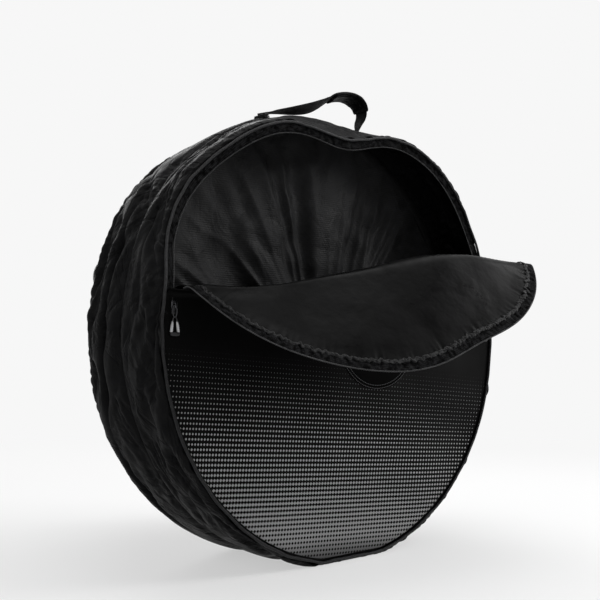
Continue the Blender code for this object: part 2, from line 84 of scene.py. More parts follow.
# The fold and the crease of a flap
FOLD_RISE = 0.050
FOLD_OPEN = math.radians(67)
FOLD_BAND = 0.008
SPLIT_RISE = 0.061
CREASE_LEFT_RISE = 0.072
CREASE_RIGHT_RISE = 0.233
CREASE_OPEN = math.radians(68)
CREASE_BAND = 0.009
CREASE_MIDDLE = (CREASE_LEFT_RISE + CREASE_RIGHT_RISE) / 2
CREASE_TILT = math.atan((CREASE_RIGHT_RISE - CREASE_LEFT_RISE) / (2 * FLAP_COIL_RADIUS))

# The soft form of a flap: how it droops, lifts along its ridge and waves along its edge
DROOP_CURVATURE = 0.552
RIDGE_LIFTS = (-0.0211, -0.0488, 0.0156, 0.0500)
EDGE_WAVES = (0.0180, 0.0104, 0.0007, -0.0044, 0.0005)

# How slack edges leave the round: depth inward, place about the axis and spread, in degrees
FRONT_SAG = ((0.046, 92.5, 17.5), (-0.009, 148, 16), (-0.007, 50, 14))
REAR_SAG = ((0.034, 84, 22), (-0.004, 148, 16))
FLAP_SAG = ((0.020, 85.6, 17), (-0.004, 48, 12), (-0.003, 148, 16))

# How far the slack edge of the opening leans back, beside the slider, where and how widely
LEAN = (0.024, 149, 22)

# Long folds of the side wall: the place across it as a share, the width as a share and the depth
LONG_FOLDS = {
    "front": ((0.90, 0.040, 0.0060), (0.42, 0.060, 0.0040)),
    "rear": ((0.52, 0.060, 0.0130), (0.88, 0.045, 0.0050)),
}

# Small slanting folds of the side wall: the slant, the cell along and across, the depth, the seed
SLANTING_FOLDS = (
    (1.8, (0.060, 0.11), 0.0032, 4),
    (-2.8, (0.052, 0.10), 0.0026, 5),
    (0.6, (0.022, 0.05), 0.0010, 6),
)

# How far the other parts of the side wall's relief stand out
WALL_PUFF = 0.0060
RIDGE_DEPTH = 0.0075
VALLEY_DEPTH = 0.0065
BROAD_DEPTH = 0.0035
SEAM_GATHER = 0.0018

# Faces, cloths, the zip and the divider
DOME = 0.013
PANEL_FOOT = 0.0073
FLAP_SKIN_INSET = 0.0160
WALL_CLOTH = 0.0018
FACE_CLOTH = 0.0010
PATCH_CLOTH = 0.0008
TAPE_CLOTH = 0.0008
HEM_CLOTH = 0.0005
ZIP_SINK = 0.0006
TOOTH_PITCH = 0.0024
DIVIDER_INSET = 0.0084
DIVIDER_HALF_CLOTH = 0.0011
DIVIDER_SLACK = 0.0115
FAN_MIDDLE = (0.02, -0.10)
BINDING_INSET = 0.0142

# Spans of the lattices of random heights: over a face, a line, a tape and the divider's fan
FACE_SPANS = (0.9, 0.9)
LINE_SPANS = (2.2, 1)
TAPE_SPANS = (2.2, 0.5)
FAN_SPANS = (2 * np.pi, 2.4)

# Patterns of the cloths
YARN_PITCH = 0.0011
SLUB_PITCH = 0.0034
DOT_ROW_PITCH = 0.0071
DOT_COLUMN_PITCH = 0.0064
DOT_ROW_SLANT = 0.075
INK = (0.43, 0.43, 0.433)

# The zip slider, measured from its middle: its plates' two faces, its depth in the zip and its pin
PLATES = ((0.00140, 0.00250), (-0.00250, -0.00140))
SLIDER_SINK = 0.0006
PIN_RISE = 0.0038

# What hangs from the pin. The moulded end is given by depths below its top and widths as shares
LOOP_DROP = 0.0190
SLEEVE_TOP = 0.0212
SLEEVE_LENGTH = 0.0152
GRIP_TOP = 0.0362
GRIP_PROFILE = (
    (0, 0.80), (0.0004, 0.93), (0.0012, 1.0), (0.0030, 0.97), (0.0044, 0.88), (0.0050, 0.70), (0.0053, 0.40),
)

# The handle: the strap, the first and the last place of the sleeve along it, and the layers of a
# tab, by their height over its middle and their size as a share
STRAP_WIDTH = 0.025
STRAP_EDGE = 0.003
STRAP_THICKNESS = 0.0022
STRAP_GAP = 0.0007
TAB_HEIGHT = 0.0080
SLEEVE_ENDS = (81, 123)
TAB_LAYERS = ((-0.0032, 1.0), (-0.0008, 0.97), (0.0016, 0.93), (0.0036, 0.86))

# Lamps: the name, the place, the size and the power, and the place that all of them face
LAMPS = (
    ("overhead", (0.2, -0.1, 2.8), 2.0, 32),
    ("right", (1.75, -0.65, 2.0), 0.7, 7),
    ("front", (2.3, -2.0, 1.8), 1.3, 64),
    ("left", (-2.6, 0.3, 1.6), 1.4, 14),
    ("back", (0.8, 2.6, 1.7), 1.6, 30),
)
LAMPS_FACE = (0, 0, 0.35)

# The camera, in pixels of the photograph
PHOTO_WIDTH = 600
FOCAL_PIXELS = 900
AXIS_PIXEL = (312, 336)
CAMERA_AZIMUTH = math.radians(-42.0)
CAMERA_ELEVATION = math.radians(-1.3)
CAMERA_DISTANCE = 1.51
SENSOR = 36


# Curves and fields


def full_turn(count):
    """Angles all the way round, from 0."""
    return np.arange(count) / count * 2 * np.pi


def polar(radius, turn):
    """Places x, w at radii and angles about the axis."""
    return radius * np.cos(turn), radius * np.sin(turn)


def ease(t):
    """A smooth step from 0 to 1."""
    t = np.clip(t, 0, 1)
    return t * t * (3 - 2 * t)


def bump(t, width):
    """A smooth hill of height 1 at 0."""
    return np.exp(-((t / width) ** 2))


def relief(u, v, spans, cell, seed):
    """Smooth random heights of unit spread at places u, v, with about one hill to a cell.

    White noise on a lattice over the spans is filtered to waves of about a cell's length, and read
    between the lattice's points in a straight line. The lattice wraps round both ways.
    """
    cells = np.broadcast_to(cell, 2)
    counts = [min(1024, 8 * round(span / size * 1.25) + 16) for span, size in zip(spans, cells)]
    waves = [np.fft.fftfreq(n, span / n) * size for n, span, size in zip(counts, spans, cells)]
    power = waves[0][:, None] ** 2 + waves[1][None, :] ** 2
    noise = np.fft.fft2(np.random.default_rng(seed).standard_normal(counts))
    heights = np.real(np.fft.ifft2(noise * power * np.exp(-2.2 * power)))
    heights /= heights.std()
    iu, iv = (np.mod(place / span, 1) * n for place, span, n in zip((u, v), spans, counts))
    a, b = np.floor(iu).astype(int), np.floor(iv).astype(int)
    s, t = iu - a, iv - b
    a, b = a % counts[0], b % counts[1]
    c, d = (a + 1) % counts[0], (b + 1) % counts[1]
    near = heights[a, b] * (1 - s) + heights[c, b] * s
    far = heights[a, d] * (1 - s) + heights[c, d] * s
    return near * (1 - t) + far * t


def sag(turn, hills):
    """How far a slack edge sinks, at an angle about the axis: a sum of smooth hills."""
    degrees = np.degrees(turn)
    return sum(
        depth * bump(np.mod(degrees - middle + 180, 360) - 180, spread) for depth, middle, spread in hills
    )


def rim_sag(turn, side):
    """How far the opening's edge sinks, at an angle about the axis."""
    return sag(turn, FRONT_SAG if side == "front" else REAR_SAG)


def rim_lean(turn):
    """How far the opening's edge leans back, at an angle about the axis. It ends at the slider."""
    degrees = np.mod(np.degrees(turn), 360)
    return sag(turn, (LEAN,)) * ease((172 - degrees) / 14)


def outline(turn, inset):
    """The outline's radius at an angle: a circle with a flat base, drawn in by an inset."""
    down = np.maximum(-np.sin(turn), 1e-6)
    return np.minimum(BAG_RADIUS - inset, (AXIS_HEIGHT - inset) / down)


def placed(x, f, w, side):
    """Points of a face in the bag's own frame. The rear face is turned half round."""
    x, f, w = np.broadcast_arrays(x, f, w)
    sign = 1 if side == "front" else -1
    return np.stack([sign * x, -sign * (HALF_DEPTH + f), AXIS_HEIGHT + w], -1)


def bent(distance, flat, angle, band, curvature):
    """Bends a flat sheet about a line: distance beyond the line and height over the sheet come in.

    The angle grows by a smooth step over the band, and then by the curvature. Its cosine and sine,
    summed along the sheet, give the new distance and height.
    """
    s = np.linspace(-0.5, 0.5, 4001)
    turn = angle * ease((s + band) / (2 * band)) + curvature * np.clip(s - band, 0, None)
    step = s[1] - s[0]
    across = np.concatenate([[0], np.cumsum((np.cos(turn[1:]) + np.cos(turn[:-1])) / 2 * step)]) + s[0]
    rise = np.concatenate([[0], np.cumsum((np.sin(turn[1:]) + np.sin(turn[:-1])) / 2 * step)])
    here = np.interp(distance, s, turn)
    return (
        np.interp(distance, s, across) - flat * np.sin(here),
        np.interp(distance, s, rise) + flat * np.cos(here),
    )


def swell(x, w):
    """How far a face stands out from flat: a low dome below the fold, the flap's soft form above.

    The dome falls with the square of the radius. The flap's form is a cubic of the place across,
    and a sum of sines of the angle that grows towards its edge. Both start smoothly at the fold.
    """
    radius = np.hypot(x, w)
    turn = np.arctan2(w, x)
    share = x / FLAP_COIL_RADIUS
    ridge = sum(lift * share**k for k, lift in enumerate(RIDGE_LIFTS))
    edge = sum(wave * np.sin((k + 1) * turn) for k, wave in enumerate(EDGE_WAVES))
    edge = edge * ease((radius / FLAP_COIL_RADIUS - 0.45) / 0.55) * ease((w - FOLD_RISE) / 0.05)
    above = ridge * ease((w - FOLD_RISE) / 0.06) + edge
    below = DOME * np.clip(1 - (radius / RIM_RADIUS) ** 2, 0, 1) * ease((FOLD_RISE - w) / 0.12)
    return np.where(w > FOLD_RISE, above, below)


def folded(x, w, height, side):
    """Places a face's flat points, with a height over it, in the bag's frame, flap bent forward.

    The flat places are turned to lie along the crease and bent about it, turned back, and bent
    about the fold.
    """
    cos, sin = math.cos(CREASE_TILT), math.sin(CREASE_TILT)
    along = x * cos + (w - CREASE_MIDDLE) * sin
    beyond = -x * sin + (w - CREASE_MIDDLE) * cos
    across, f = bent(beyond, height, CREASE_OPEN, CREASE_BAND, DROOP_CURVATURE)
    creased_x = along * cos - across * sin
    creased_w = CREASE_MIDDLE + along * sin + across * cos
    up, f = bent(creased_w - FOLD_RISE, f, FOLD_OPEN, FOLD_BAND, 0)
    return placed(creased_x, f, FOLD_RISE + up, side)


# Meshes


def grid(points, closed=(False, False), uv=None, flip=False, caps=False, pole=False):
    """Four-sided faces over a grid of points, as a part: points, faces and a UV place for each corner.

    Caps close its first and last row, and a pole its first column, each with a fan of triangles.
    """
    nu, nv = points.shape[:2]
    cu, cv = closed
    i, j = np.arange(nu if cu else nu - 1)[:, None], np.arange(nv if cv else nv - 1)[None, :]
    i2, j2 = (i + 1) % nu, (j + 1) % nv
    faces = np.stack([i * nv + j, i2 * nv + j, i2 * nv + j2, i * nv + j2], -1).reshape(-1, 4)
    if uv is None:
        corners = np.zeros((len(faces), 4, 2))
    else:
        wide = nv + cv
        index = np.stack([i * wide + j, (i + 1) * wide + j, (i + 1) * wide + j + 1, i * wide + j + 1], -1)
        corners = uv.reshape(-1, 2)[index.reshape(-1, 4)]
    points = points.reshape(-1, 3)
    if pole:
        ring = np.arange(nu) * nv
        middle = np.full(nu, len(points))
        points = np.vstack([points, points[ring].mean(0)])
        faces = np.vstack([faces, np.stack([np.roll(ring, -1), ring, middle, middle], -1)])
        rim = np.zeros((nu + 1, 2)) if uv is None else uv[:, 0]
        inner = np.broadcast_to(rim[:-1].mean(0), (nu, 2))
        corners = np.concatenate([corners, np.stack([rim[1:], rim[:-1], inner, inner], 1)])
    if caps:
        for row, turned in ((0, False), (nu - 1, True)):
            ring = np.arange(nv) + row * nv
            middle = len(points)
            points = np.vstack([points, points[ring].mean(0)])
            fan = np.stack([ring, np.roll(ring, -1), np.full(nv, middle), np.full(nv, middle)], -1)
            fan = fan[:, [1, 0, 2, 3]] if turned else fan
            faces = np.vstack([faces, fan])
            corners = np.concatenate([corners, np.zeros((nv, 4, 2))])
    if flip:
        faces, corners = faces[:, [1, 0, 3, 2]], corners[:, [1, 0, 3, 2]]
    return points, faces, corners


def piece(name, parts, material, body, replaces=(), solid=0.0):
    """An object made of one or more parts, in its material, riding on a body of the frame, or on none.

    Body is a name, or the two names and two places of a band across a bend; a piece given a band
    rides on no body, and its place is baked into its points. Solid gives the cloth a thickness, behind
    its faces.
    """
    starts = np.cumsum([0] + [len(part[0]) for part in parts])
    points = np.vstack([part[0] for part in parts])
    faces = np.vstack([part[1] + start for part, start in zip(parts, starts)])
    corners = np.concatenate([part[2] for part in parts])
    three = faces[:, 2] == faces[:, 3]
    counts = np.where(three, 3, 4)
    keep = np.ones(faces.shape, bool)
    keep[three, 3] = False
    mesh = bpy.data.meshes.new(name)
    mesh.vertices.add(len(points))
    mesh.vertices.foreach_set("co", points.astype(np.float32).ravel())
    mesh.loops.add(int(counts.sum()))
    mesh.loops.foreach_set("vertex_index", faces[keep].astype(np.int32))
    mesh.polygons.add(len(faces))
    mesh.polygons.foreach_set("loop_start", np.concatenate([[0], np.cumsum(counts)[:-1]]).astype(np.int32))
    mesh.polygons.foreach_set("use_smooth", np.ones(len(faces), bool))
    layer = mesh.uv_layers.new(name="cloth")
    layer.data.foreach_set("uv", corners[keep].astype(np.float32).ravel())
    mesh.update(calc_edges=True)
    mesh.materials.append(material)
    made = bpy.data.objects.new(name, mesh)
    bpy.context.scene.collection.objects.link(made)
    if solid:
        wall = made.modifiers.new("wall", "SOLIDIFY")
        wall.thickness = solid
        wall.offset = -1
    if isinstance(body, str):
        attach(made, body)
    else:
        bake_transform(made)
    if replaces:
        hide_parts(*replaces)
    return made


def length_along(path):
    """The length gone at each point of a path."""
    return np.concatenate([[0], np.cumsum(np.linalg.norm(np.diff(path, axis=0), axis=1))])


def swept(path, section, up=(0, 1, 0), closed=False, scale=None, uv=True):
    """A section of points side, rise carried along a path, with its ends capped unless it closes.

    Side runs square to the path and to up, and rise square to both.
    """
    path = np.asarray(path, float)
    ahead = np.roll(path, -1, 0) - np.roll(path, 1, 0) if closed else np.gradient(path, axis=0)
    ahead /= np.linalg.norm(ahead, axis=1)[:, None]
    up = np.broadcast_to(np.asarray(up, float), path.shape)
    side = np.cross(ahead, up)
    side /= np.linalg.norm(side, axis=1)[:, None]
    rise = np.cross(side, ahead)
    section = np.broadcast_to(section, (len(path), *np.shape(section)[-2:]))
    if scale is not None:
        section = section * np.asarray(scale)[:, None, None]
    points = path[:, None] + section[..., :1] * side[:, None] + section[..., 1:] * rise[:, None]
    corners = None
    if uv:
        gone = length_along(path)
        if closed:
            gone = np.append(gone, gone[-1] + np.linalg.norm(path[0] - path[-1]))
        round_it = length_along(np.vstack([section[0], section[0][:1]]))
        corners = np.stack(np.broadcast_arrays(gone[:, None], round_it[None, :]), -1)
    return grid(points, (closed, True), corners, caps=not closed)


def lofted(rings):
    """A solid through rings of points, closed at both ends."""
    return grid(np.array(rings), (False, True), flip=True, caps=True)


def circle(radius, sides):
    """A round section."""
    return np.stack(polar(radius, full_turn(sides)), -1)


def rounded(half_width, half_height, powers, sides):
    """A section between an oval and a box: a circle's two waves, each raised to a power below 1."""
    waves = circle(1, sides)
    return np.sign(waves) * np.abs(waves) ** powers * (half_width, half_height)


def strip_section(width, thickness, across):
    """A flat section with rounded edges and a few points across, for webbing and tape."""
    half, thick = width / 2, thickness / 2
    flat = np.linspace(-half + thick, half - thick, across)
    turn = np.linspace(-np.pi / 2, np.pi / 2, 5)[1:-1]
    low = np.stack([flat, np.full(across, -thick)], -1)
    right = np.stack([half - thick + thick * np.cos(turn), thick * np.sin(turn)], -1)
    return np.vstack([low, right, -low, -right])


# Materials


def shader(name, colour, roughness, metallic=0.0, **sockets):
    """A Principled material. Sockets holds further values, named as on the shader."""
    made = bpy.data.materials.new(name)
    made.use_nodes = True
    bsdf = made.node_tree.nodes["Principled BSDF"]
    bsdf.inputs["Base Color"].default_value = (*colour, 1)
    bsdf.inputs["Roughness"].default_value = roughness
    bsdf.inputs["Metallic"].default_value = metallic
    for socket, value in sockets.items():
        bsdf.inputs[socket.replace("_", " ")].default_value = value
    return made, made.node_tree, bsdf


def wire(tree, kind, inputs=None, **settings):
    """A node with its settings and inputs. An input is a value or another node's socket."""
    made = tree.nodes.new("ShaderNode" + kind)
    for key, value in settings.items():
        setattr(made, key, value)
    for key, value in (inputs or {}).items():
        if isinstance(value, bpy.types.NodeSocket):
            tree.links.new(value, made.inputs[key])
        else:
            made.inputs[key].default_value = value
    return made


def maths(tree, operation, *values):
    """The result of an operation on values, by a Math node."""
    return wire(tree, "Math", dict(enumerate(values)), operation=operation).outputs[0]


def ramp(tree, factor, low, high, dark, light):
    """A grey that goes from dark to light by a smooth step, as the factor goes from low to high."""
    inputs = {0: factor, 1: low, 2: high, 3: dark, 4: light}
    return wire(tree, "MapRange", inputs, interpolation_type="SMOOTHSTEP").outputs[0]


def tinted(tree, factor, dark, light):
    """A colour between two, by a factor."""
    made = wire(tree, "Mix", {0: factor}, data_type="RGBA")
    made.inputs[6].default_value = (*dark, 1)
    made.inputs[7].default_value = (*light, 1)
    return made.outputs[2]


def noise(tree, place, scale, detail=3.0, roughness=0.55, distortion=0.0):
    """A noise texture's value at a place."""
    names = ("Vector", "Scale", "Detail", "Roughness", "Distortion")
    inputs = dict(zip(names, (place, scale, detail, roughness, distortion)))
    return wire(tree, "TexNoise", inputs).outputs["Fac"]


def ribs(tree, coordinate, pitch):
    """A wave from 0 to 1 along one coordinate, one to a pitch."""
    turned = maths(tree, "MULTIPLY", coordinate, 2 * math.pi / pitch)
    return maths(tree, "MULTIPLY_ADD", maths(tree, "COSINE", turned), 0.5, 0.5)


def coat(tree, bsdf, colour, rough, layers):
    """Links a colour, a roughness and chained bump layers to a shader.

    A layer is a height, a strength and a distance.
    """
    if colour:
        tree.links.new(colour, bsdf.inputs["Base Color"])
    tree.links.new(rough, bsdf.inputs["Roughness"])
    normal = None
    for height, strength, distance in layers:
        inputs = {"Height": height, "Strength": strength, "Distance": distance}
        if normal:
            inputs["Normal"] = normal
        normal = wire(tree, "Bump", inputs).outputs[0]
    tree.links.new(normal, bsdf.inputs["Normal"])


def object_place(tree):
    """A point's place in the bag's frame, whole and split into x, y and z."""
    place = wire(tree, "TexCoord").outputs["Object"]
    return place, wire(tree, "SeparateXYZ", {0: place}).outputs


def cloth_place(tree):
    """A point's place on the flat cloth, whole and split."""
    place = wire(tree, "UVMap", uv_map="cloth").outputs[0]
    return place, wire(tree, "SeparateXYZ", {0: place}).outputs


def nylon(name, dark, light, gloss, creased, slub):
    """Black taffeta: a fine plain weave, crinkles with a painted sheen that lightens their crests, and
    creases from use.

    A crease lies where a noise crosses its middle value, and the weave is the product of two waves.
    Creased and slub are the strengths of the creases and of the thicker level threads.
    """
    made, tree, bsdf = shader(name, light, 0.50, Specular_IOR_Level=gloss)
    place, (x, y, z) = object_place(tree)
    crinkle_and_painted_sheen = noise(tree, place, 26, 5, 0.6, 0.8)
    from_middle = maths(tree, "SUBTRACT", noise(tree, place, 11, 4, 0.5, 1.2), 0.5)
    creases = ramp(tree, maths(tree, "ABSOLUTE", from_middle), 0, 0.07, 0, 1)
    fine = noise(tree, place, 240, 3, 0.6)
    slanting = ribs(tree, maths(tree, "ADD", x, y), YARN_PITCH)
    yarn = maths(tree, "MULTIPLY", slanting, ribs(tree, z, YARN_PITCH))
    rough = ramp(tree, crinkle_and_painted_sheen, 0.3, 0.7, 0.40, 0.60)
    layers = [
        (creases, creased, 0.0035),
        (crinkle_and_painted_sheen, 0.5, 0.005),
        (fine, 0.35, 0.0007),
        (yarn, 0.2, 0.00025),
        (ribs(tree, z, SLUB_PITCH), slub, 0.0004),
    ]
    # The colour follows the crinkles: lighter on their crests, a painted sheen.
    coat(tree, bsdf, tinted(tree, crinkle_and_painted_sheen, dark, light), rough, layers)
    return made


def dotted_vinyl():
    """Black vinyl with a halftone print, and painted light in it: light grey dots that grow down the panel
    until they join.

    The print is light where the sum of two waves, one down the panel and one across it, is above a
    level. The level falls in a straight line with the depth, later at the sides and to the right, so
    that the print is brightest low in the middle and to the left: print, and also a painted reflection
    of the bright floor. It is capped a little way down, so that small dots show over the whole width.
    The rows slant a little. The columns stand wider apart to the right, by the square of the place
    across. The ink's strength is painted light: faint near the top as painted shade under the flap,
    strongest a little below the middle as a painted reflection, fainter further down, and faintest
    at the foot as painted shade where the panel curves under.
    """
    made, tree, bsdf = shader("dotted_vinyl", (0.03, 0.03, 0.032), 0.46, Specular_IOR_Level=0.03)
    place, (x, w, _) = cloth_place(tree)
    slant = maths(tree, "MULTIPLY_ADD", x, DOT_ROW_SLANT, w)
    rows = ribs(tree, slant, DOT_ROW_PITCH)
    stretched = maths(tree, "MULTIPLY_ADD", maths(tree, "MULTIPLY", x, x), -0.45, x)
    columns = ribs(tree, maths(tree, "MULTIPLY_ADD", w, -DOT_ROW_SLANT, stretched), DOT_COLUMN_PITCH)
    waves = maths(tree, "MULTIPLY_ADD", columns, 0.44, maths(tree, "MULTIPLY", rows, 0.56))
    # The level below makes dots start later at the sides and to the right, so the print is brightest low in
    # the middle and to the left: print, and also a painted reflection of the bright floor.
    below = maths(tree, "MULTIPLY", slant, -1)
    depth = maths(tree, "MULTIPLY_ADD", maths(tree, "MULTIPLY", x, x), -0.32, below)
    sparse = maths(tree, "MAXIMUM", maths(tree, "MULTIPLY_ADD", below, -2.3, 1.12), 0.94)
    aside = maths(tree, "MULTIPLY_ADD", x, -0.09, depth)
    level = maths(tree, "MINIMUM", maths(tree, "MULTIPLY_ADD", aside, -2.3, 1.13), sparse)
    ink = ramp(tree, maths(tree, "SUBTRACT", waves, level), -0.05, 0.06, 0, 1)
    # The ink's strength down the panel is painted light: painted shade near the top under the flap, a painted
    # reflection below the middle, and painted shade at the foot where the panel curves under.
    ink_with_painted_light = ink
    for along, low, high, dark, light in (
        (below, 0.0, 0.215, 0.10, 1),
        (depth, 0.31, 0.352, 1, 0.35),
        (depth, 0.10, 0.24, 1, 0.62),
    ):
        ink_with_painted_light = maths(tree, "MULTIPLY", ink_with_painted_light, ramp(tree, along, low, high, dark, light))
    shade = tinted(tree, ink_with_painted_light, (0.0020, 0.0020, 0.0020), INK)
    worn = noise(tree, place, 9, 3)
    rough = maths(tree, "MULTIPLY_ADD", ink, -0.10, ramp(tree, worn, 0.3, 0.7, 0.48, 0.58))
    grain = noise(tree, place, 900, 2)
    coat(tree, bsdf, shade, rough, [(ink, 0.15, 0.0002), (grain, 0.1, 0.0002)])
    return made


def plain_vinyl():
    """The bare vinyl of the round patch: smooth, with a fine grain."""
    made, tree, bsdf = shader("plain_vinyl", (0.0012, 0.0012, 0.0012), 0.50, Specular_IOR_Level=0.01)
    place, _ = cloth_place(tree)
    grain = noise(tree, place, 700, 3)
    rough = ramp(tree, noise(tree, place, 14, 3), 0.3, 0.7, 0.36, 0.48)
    coat(tree, bsdf, None, rough, [(grain, 0.25, 0.0003)])
    return made


def coated_lining():
    """Smooth coated cloth: satin black with faint smudges and the weave just showing."""
    made, tree, bsdf = shader("coated_lining", (0.003, 0.003, 0.0031), 0.40, Specular_IOR_Level=0.026)
    place, (x, w, _) = cloth_place(tree)
    smudge = noise(tree, place, 11, 4, 0.6, 0.5)
    soft = noise(tree, place, 28, 3, 0.5)
    yarn = maths(tree, "MULTIPLY", ribs(tree, x, 0.0009), ribs(tree, w, 0.0009))
    rough = ramp(tree, smudge, 0.38, 0.62, 0.27, 0.47)
    shade = tinted(tree, smudge, (0.0010, 0.0010, 0.0010), (0.0034, 0.0034, 0.0035))
    coat(tree, bsdf, shade, rough, [(soft, 0.35, 0.005), (yarn, 0.08, 0.0002)])
    return made


def woven(name, dark, light, rib, roughness, gloss=0.06, mottle=0.3):
    """Woven tape or webbing: ribs along its length crossed by wider ones, in two near shades.

    The weave is the product of the two waves, and the colour is lighter on it and darker between the threads,
    a painted shade. Fuzz and slow patches vary its shade.
    """
    made, tree, bsdf = shader(name, light, roughness, Specular_IOR_Level=gloss)
    place, (along, across, _) = cloth_place(tree)
    weave = maths(tree, "MULTIPLY", ribs(tree, along, rib), ribs(tree, across, rib * 1.3))
    fuzz = noise(tree, place, 420, 3)
    patchy = ramp(tree, noise(tree, place, 130, 2, 0.6), 0.35, 0.65, 1 - mottle, 1 + mottle)
    # The weave's wave in the colour is painted shade between the threads; fuzz and patches are the cloth's
    # own uneven tone.
    shade = maths(tree, "MULTIPLY_ADD", fuzz, 0.5, maths(tree, "MULTIPLY", weave, 0.6))
    shade = maths(tree, "MULTIPLY", shade, patchy)
    rough = ramp(tree, fuzz, 0.3, 0.7, roughness - 0.08, roughness + 0.08)
    layers = [(weave, 0.7, 0.0006), (patchy, 0.5, 0.0006), (fuzz, 0.3, 0.0002)]
    coat(tree, bsdf, tinted(tree, shade, dark, light), rough, layers)
    return made


def moulded(name, dark, light, roughness, metallic=0.0, grain=0.12):
    """Moulded plastic or cast metal: a fine grain, and a shade and a roughness that vary with wear."""
    made, tree, bsdf = shader(name, light, roughness, metallic, Specular_IOR_Level=0.3)
    place, _ = object_place(tree)
    wear = noise(tree, place, 180, 4)
    rough = ramp(tree, wear, 0.3, 0.7, roughness - 0.08, roughness + 0.1)
    layers = [(noise(tree, place, 1500, 2), grain, 0.0002)]
    coat(tree, bsdf, tinted(tree, wear, dark, light), rough, layers)
    return made


def braided(name, dark, light):
    """A braided cord: two sets of slanting strands that cross, the higher of two waves at each place, its
    colour darker between the strands, a painted shade.
    """
    made, tree, bsdf = shader(name, light, 0.6, Specular_IOR_Level=0.2)
    _, (along, across, _) = cloth_place(tree)
    one = ribs(tree, maths(tree, "ADD", along, across), 0.0016)
    other = ribs(tree, maths(tree, "SUBTRACT", along, across), 0.0016)
    strands = maths(tree, "MAXIMUM", one, other)
    rough = ramp(tree, strands, 0, 1, 0.7, 0.5)
    # The colour is darker between the strands: painted shade.
    coat(tree, bsdf, tinted(tree, strands, dark, light), rough, [(strands, 0.7, 0.0003)])
    return made


# Each nylon's colour runs from dark in the crinkles' hollows to light on their crests, a painted sheen; the
# divider's far wider span makes its painted sheen much stronger.
NYLON = nylon("nylon", (0.0018, 0.0018, 0.0019), (0.0078, 0.0078, 0.0082), 0.03, 0.55, 0.0)
DIVIDER_NYLON = nylon("divider_nylon", (0.0005, 0.0005, 0.0005), (0.0300, 0.0300, 0.0309), 0.05, 0.08, 0.35)
DOTTED_VINYL = dotted_vinyl()
PLAIN_VINYL = plain_vinyl()
LINING = coated_lining()
# In the woven materials below, part of the step from dark to light is painted shade between the threads.
ZIP_TAPE = woven("zip_tape", (0.0004, 0.0004, 0.0004), (0.016, 0.016, 0.0168), 0.0022, 0.75, 0.015, 0.9)
WEBBING = woven("webbing", (0.004, 0.004, 0.004), (0.018, 0.018, 0.0185), 0.0017, 0.62)
PIPING = woven("piping", (0.008, 0.008, 0.0083), (0.036, 0.036, 0.0378), 0.0010, 0.42, 0.12)
HEM = woven("hem", (0.002, 0.002, 0.0021), (0.014, 0.014, 0.0147), 0.0012, 0.42, 0.12, 0.8)
# THREAD and CORD are braided: their dark colour is painted shade between the strands.
THREAD = braided("thread", (0.030, 0.030, 0.032), (0.110, 0.110, 0.115))
COIL = moulded("zip_coil", (0.008, 0.008, 0.0085), (0.020, 0.020, 0.021), 0.40)
METAL = moulded("slider_metal", (0.030, 0.030, 0.032), (0.085, 0.085, 0.090), 0.30, 1.0)
CORD = braided("pull_cord", (0.32, 0.32, 0.33), (0.66, 0.66, 0.67))
GRIP = moulded("pull_grip", (0.010, 0.010, 0.011), (0.024, 0.024, 0.025), 0.42, grain=0.3)


# Joint bands, where cloth bends


def lean(vector, angle):
    """Tips a vector forward about the X axis."""
    x, y, z = vector
    return np.array([x, y * math.cos(angle) - z * math.sin(angle), y * math.sin(angle) + z * math.cos(angle)])


def about(vector, axis, angle):
    """Turns a vector about a unit axis."""
    return (
        vector * math.cos(angle)
        + np.cross(axis, vector) * math.sin(angle)
        + axis * (axis @ vector) * (1 - math.cos(angle))
    )


def bands(side):
    """The bodies and the two ends of the band across the fold, and across the crease, of a flap.

    The ends lie a band's width to either side of the line, halfway in angle between the two sheets.
    """
    sign = 1 if side == "front" else -1
    half_turn = np.array([sign, sign, 1])
    fold = placed(0.0, 0.0003, FOLD_RISE, side)
    across = half_turn * lean((0, 0, 1), FOLD_OPEN / 2) * FOLD_BAND * math.cos(FOLD_OPEN / 2)
    first = ("shell", side + "_flap_base", tuple(fold - across), tuple(fold + across))
    axis = lean((math.cos(CREASE_TILT), 0, math.sin(CREASE_TILT)), FOLD_OPEN)
    up = lean((-math.sin(CREASE_TILT), 0, math.cos(CREASE_TILT)), FOLD_OPEN)
    crease = fold + half_turn * lean((0, 0, CREASE_MIDDLE - FOLD_RISE), FOLD_OPEN)
    across = half_turn * about(up, axis, CREASE_OPEN / 2) * CREASE_BAND
    return first, (side + "_flap_base", side + "_flap", tuple(crease - across), tuple(crease + across))


# The side wall


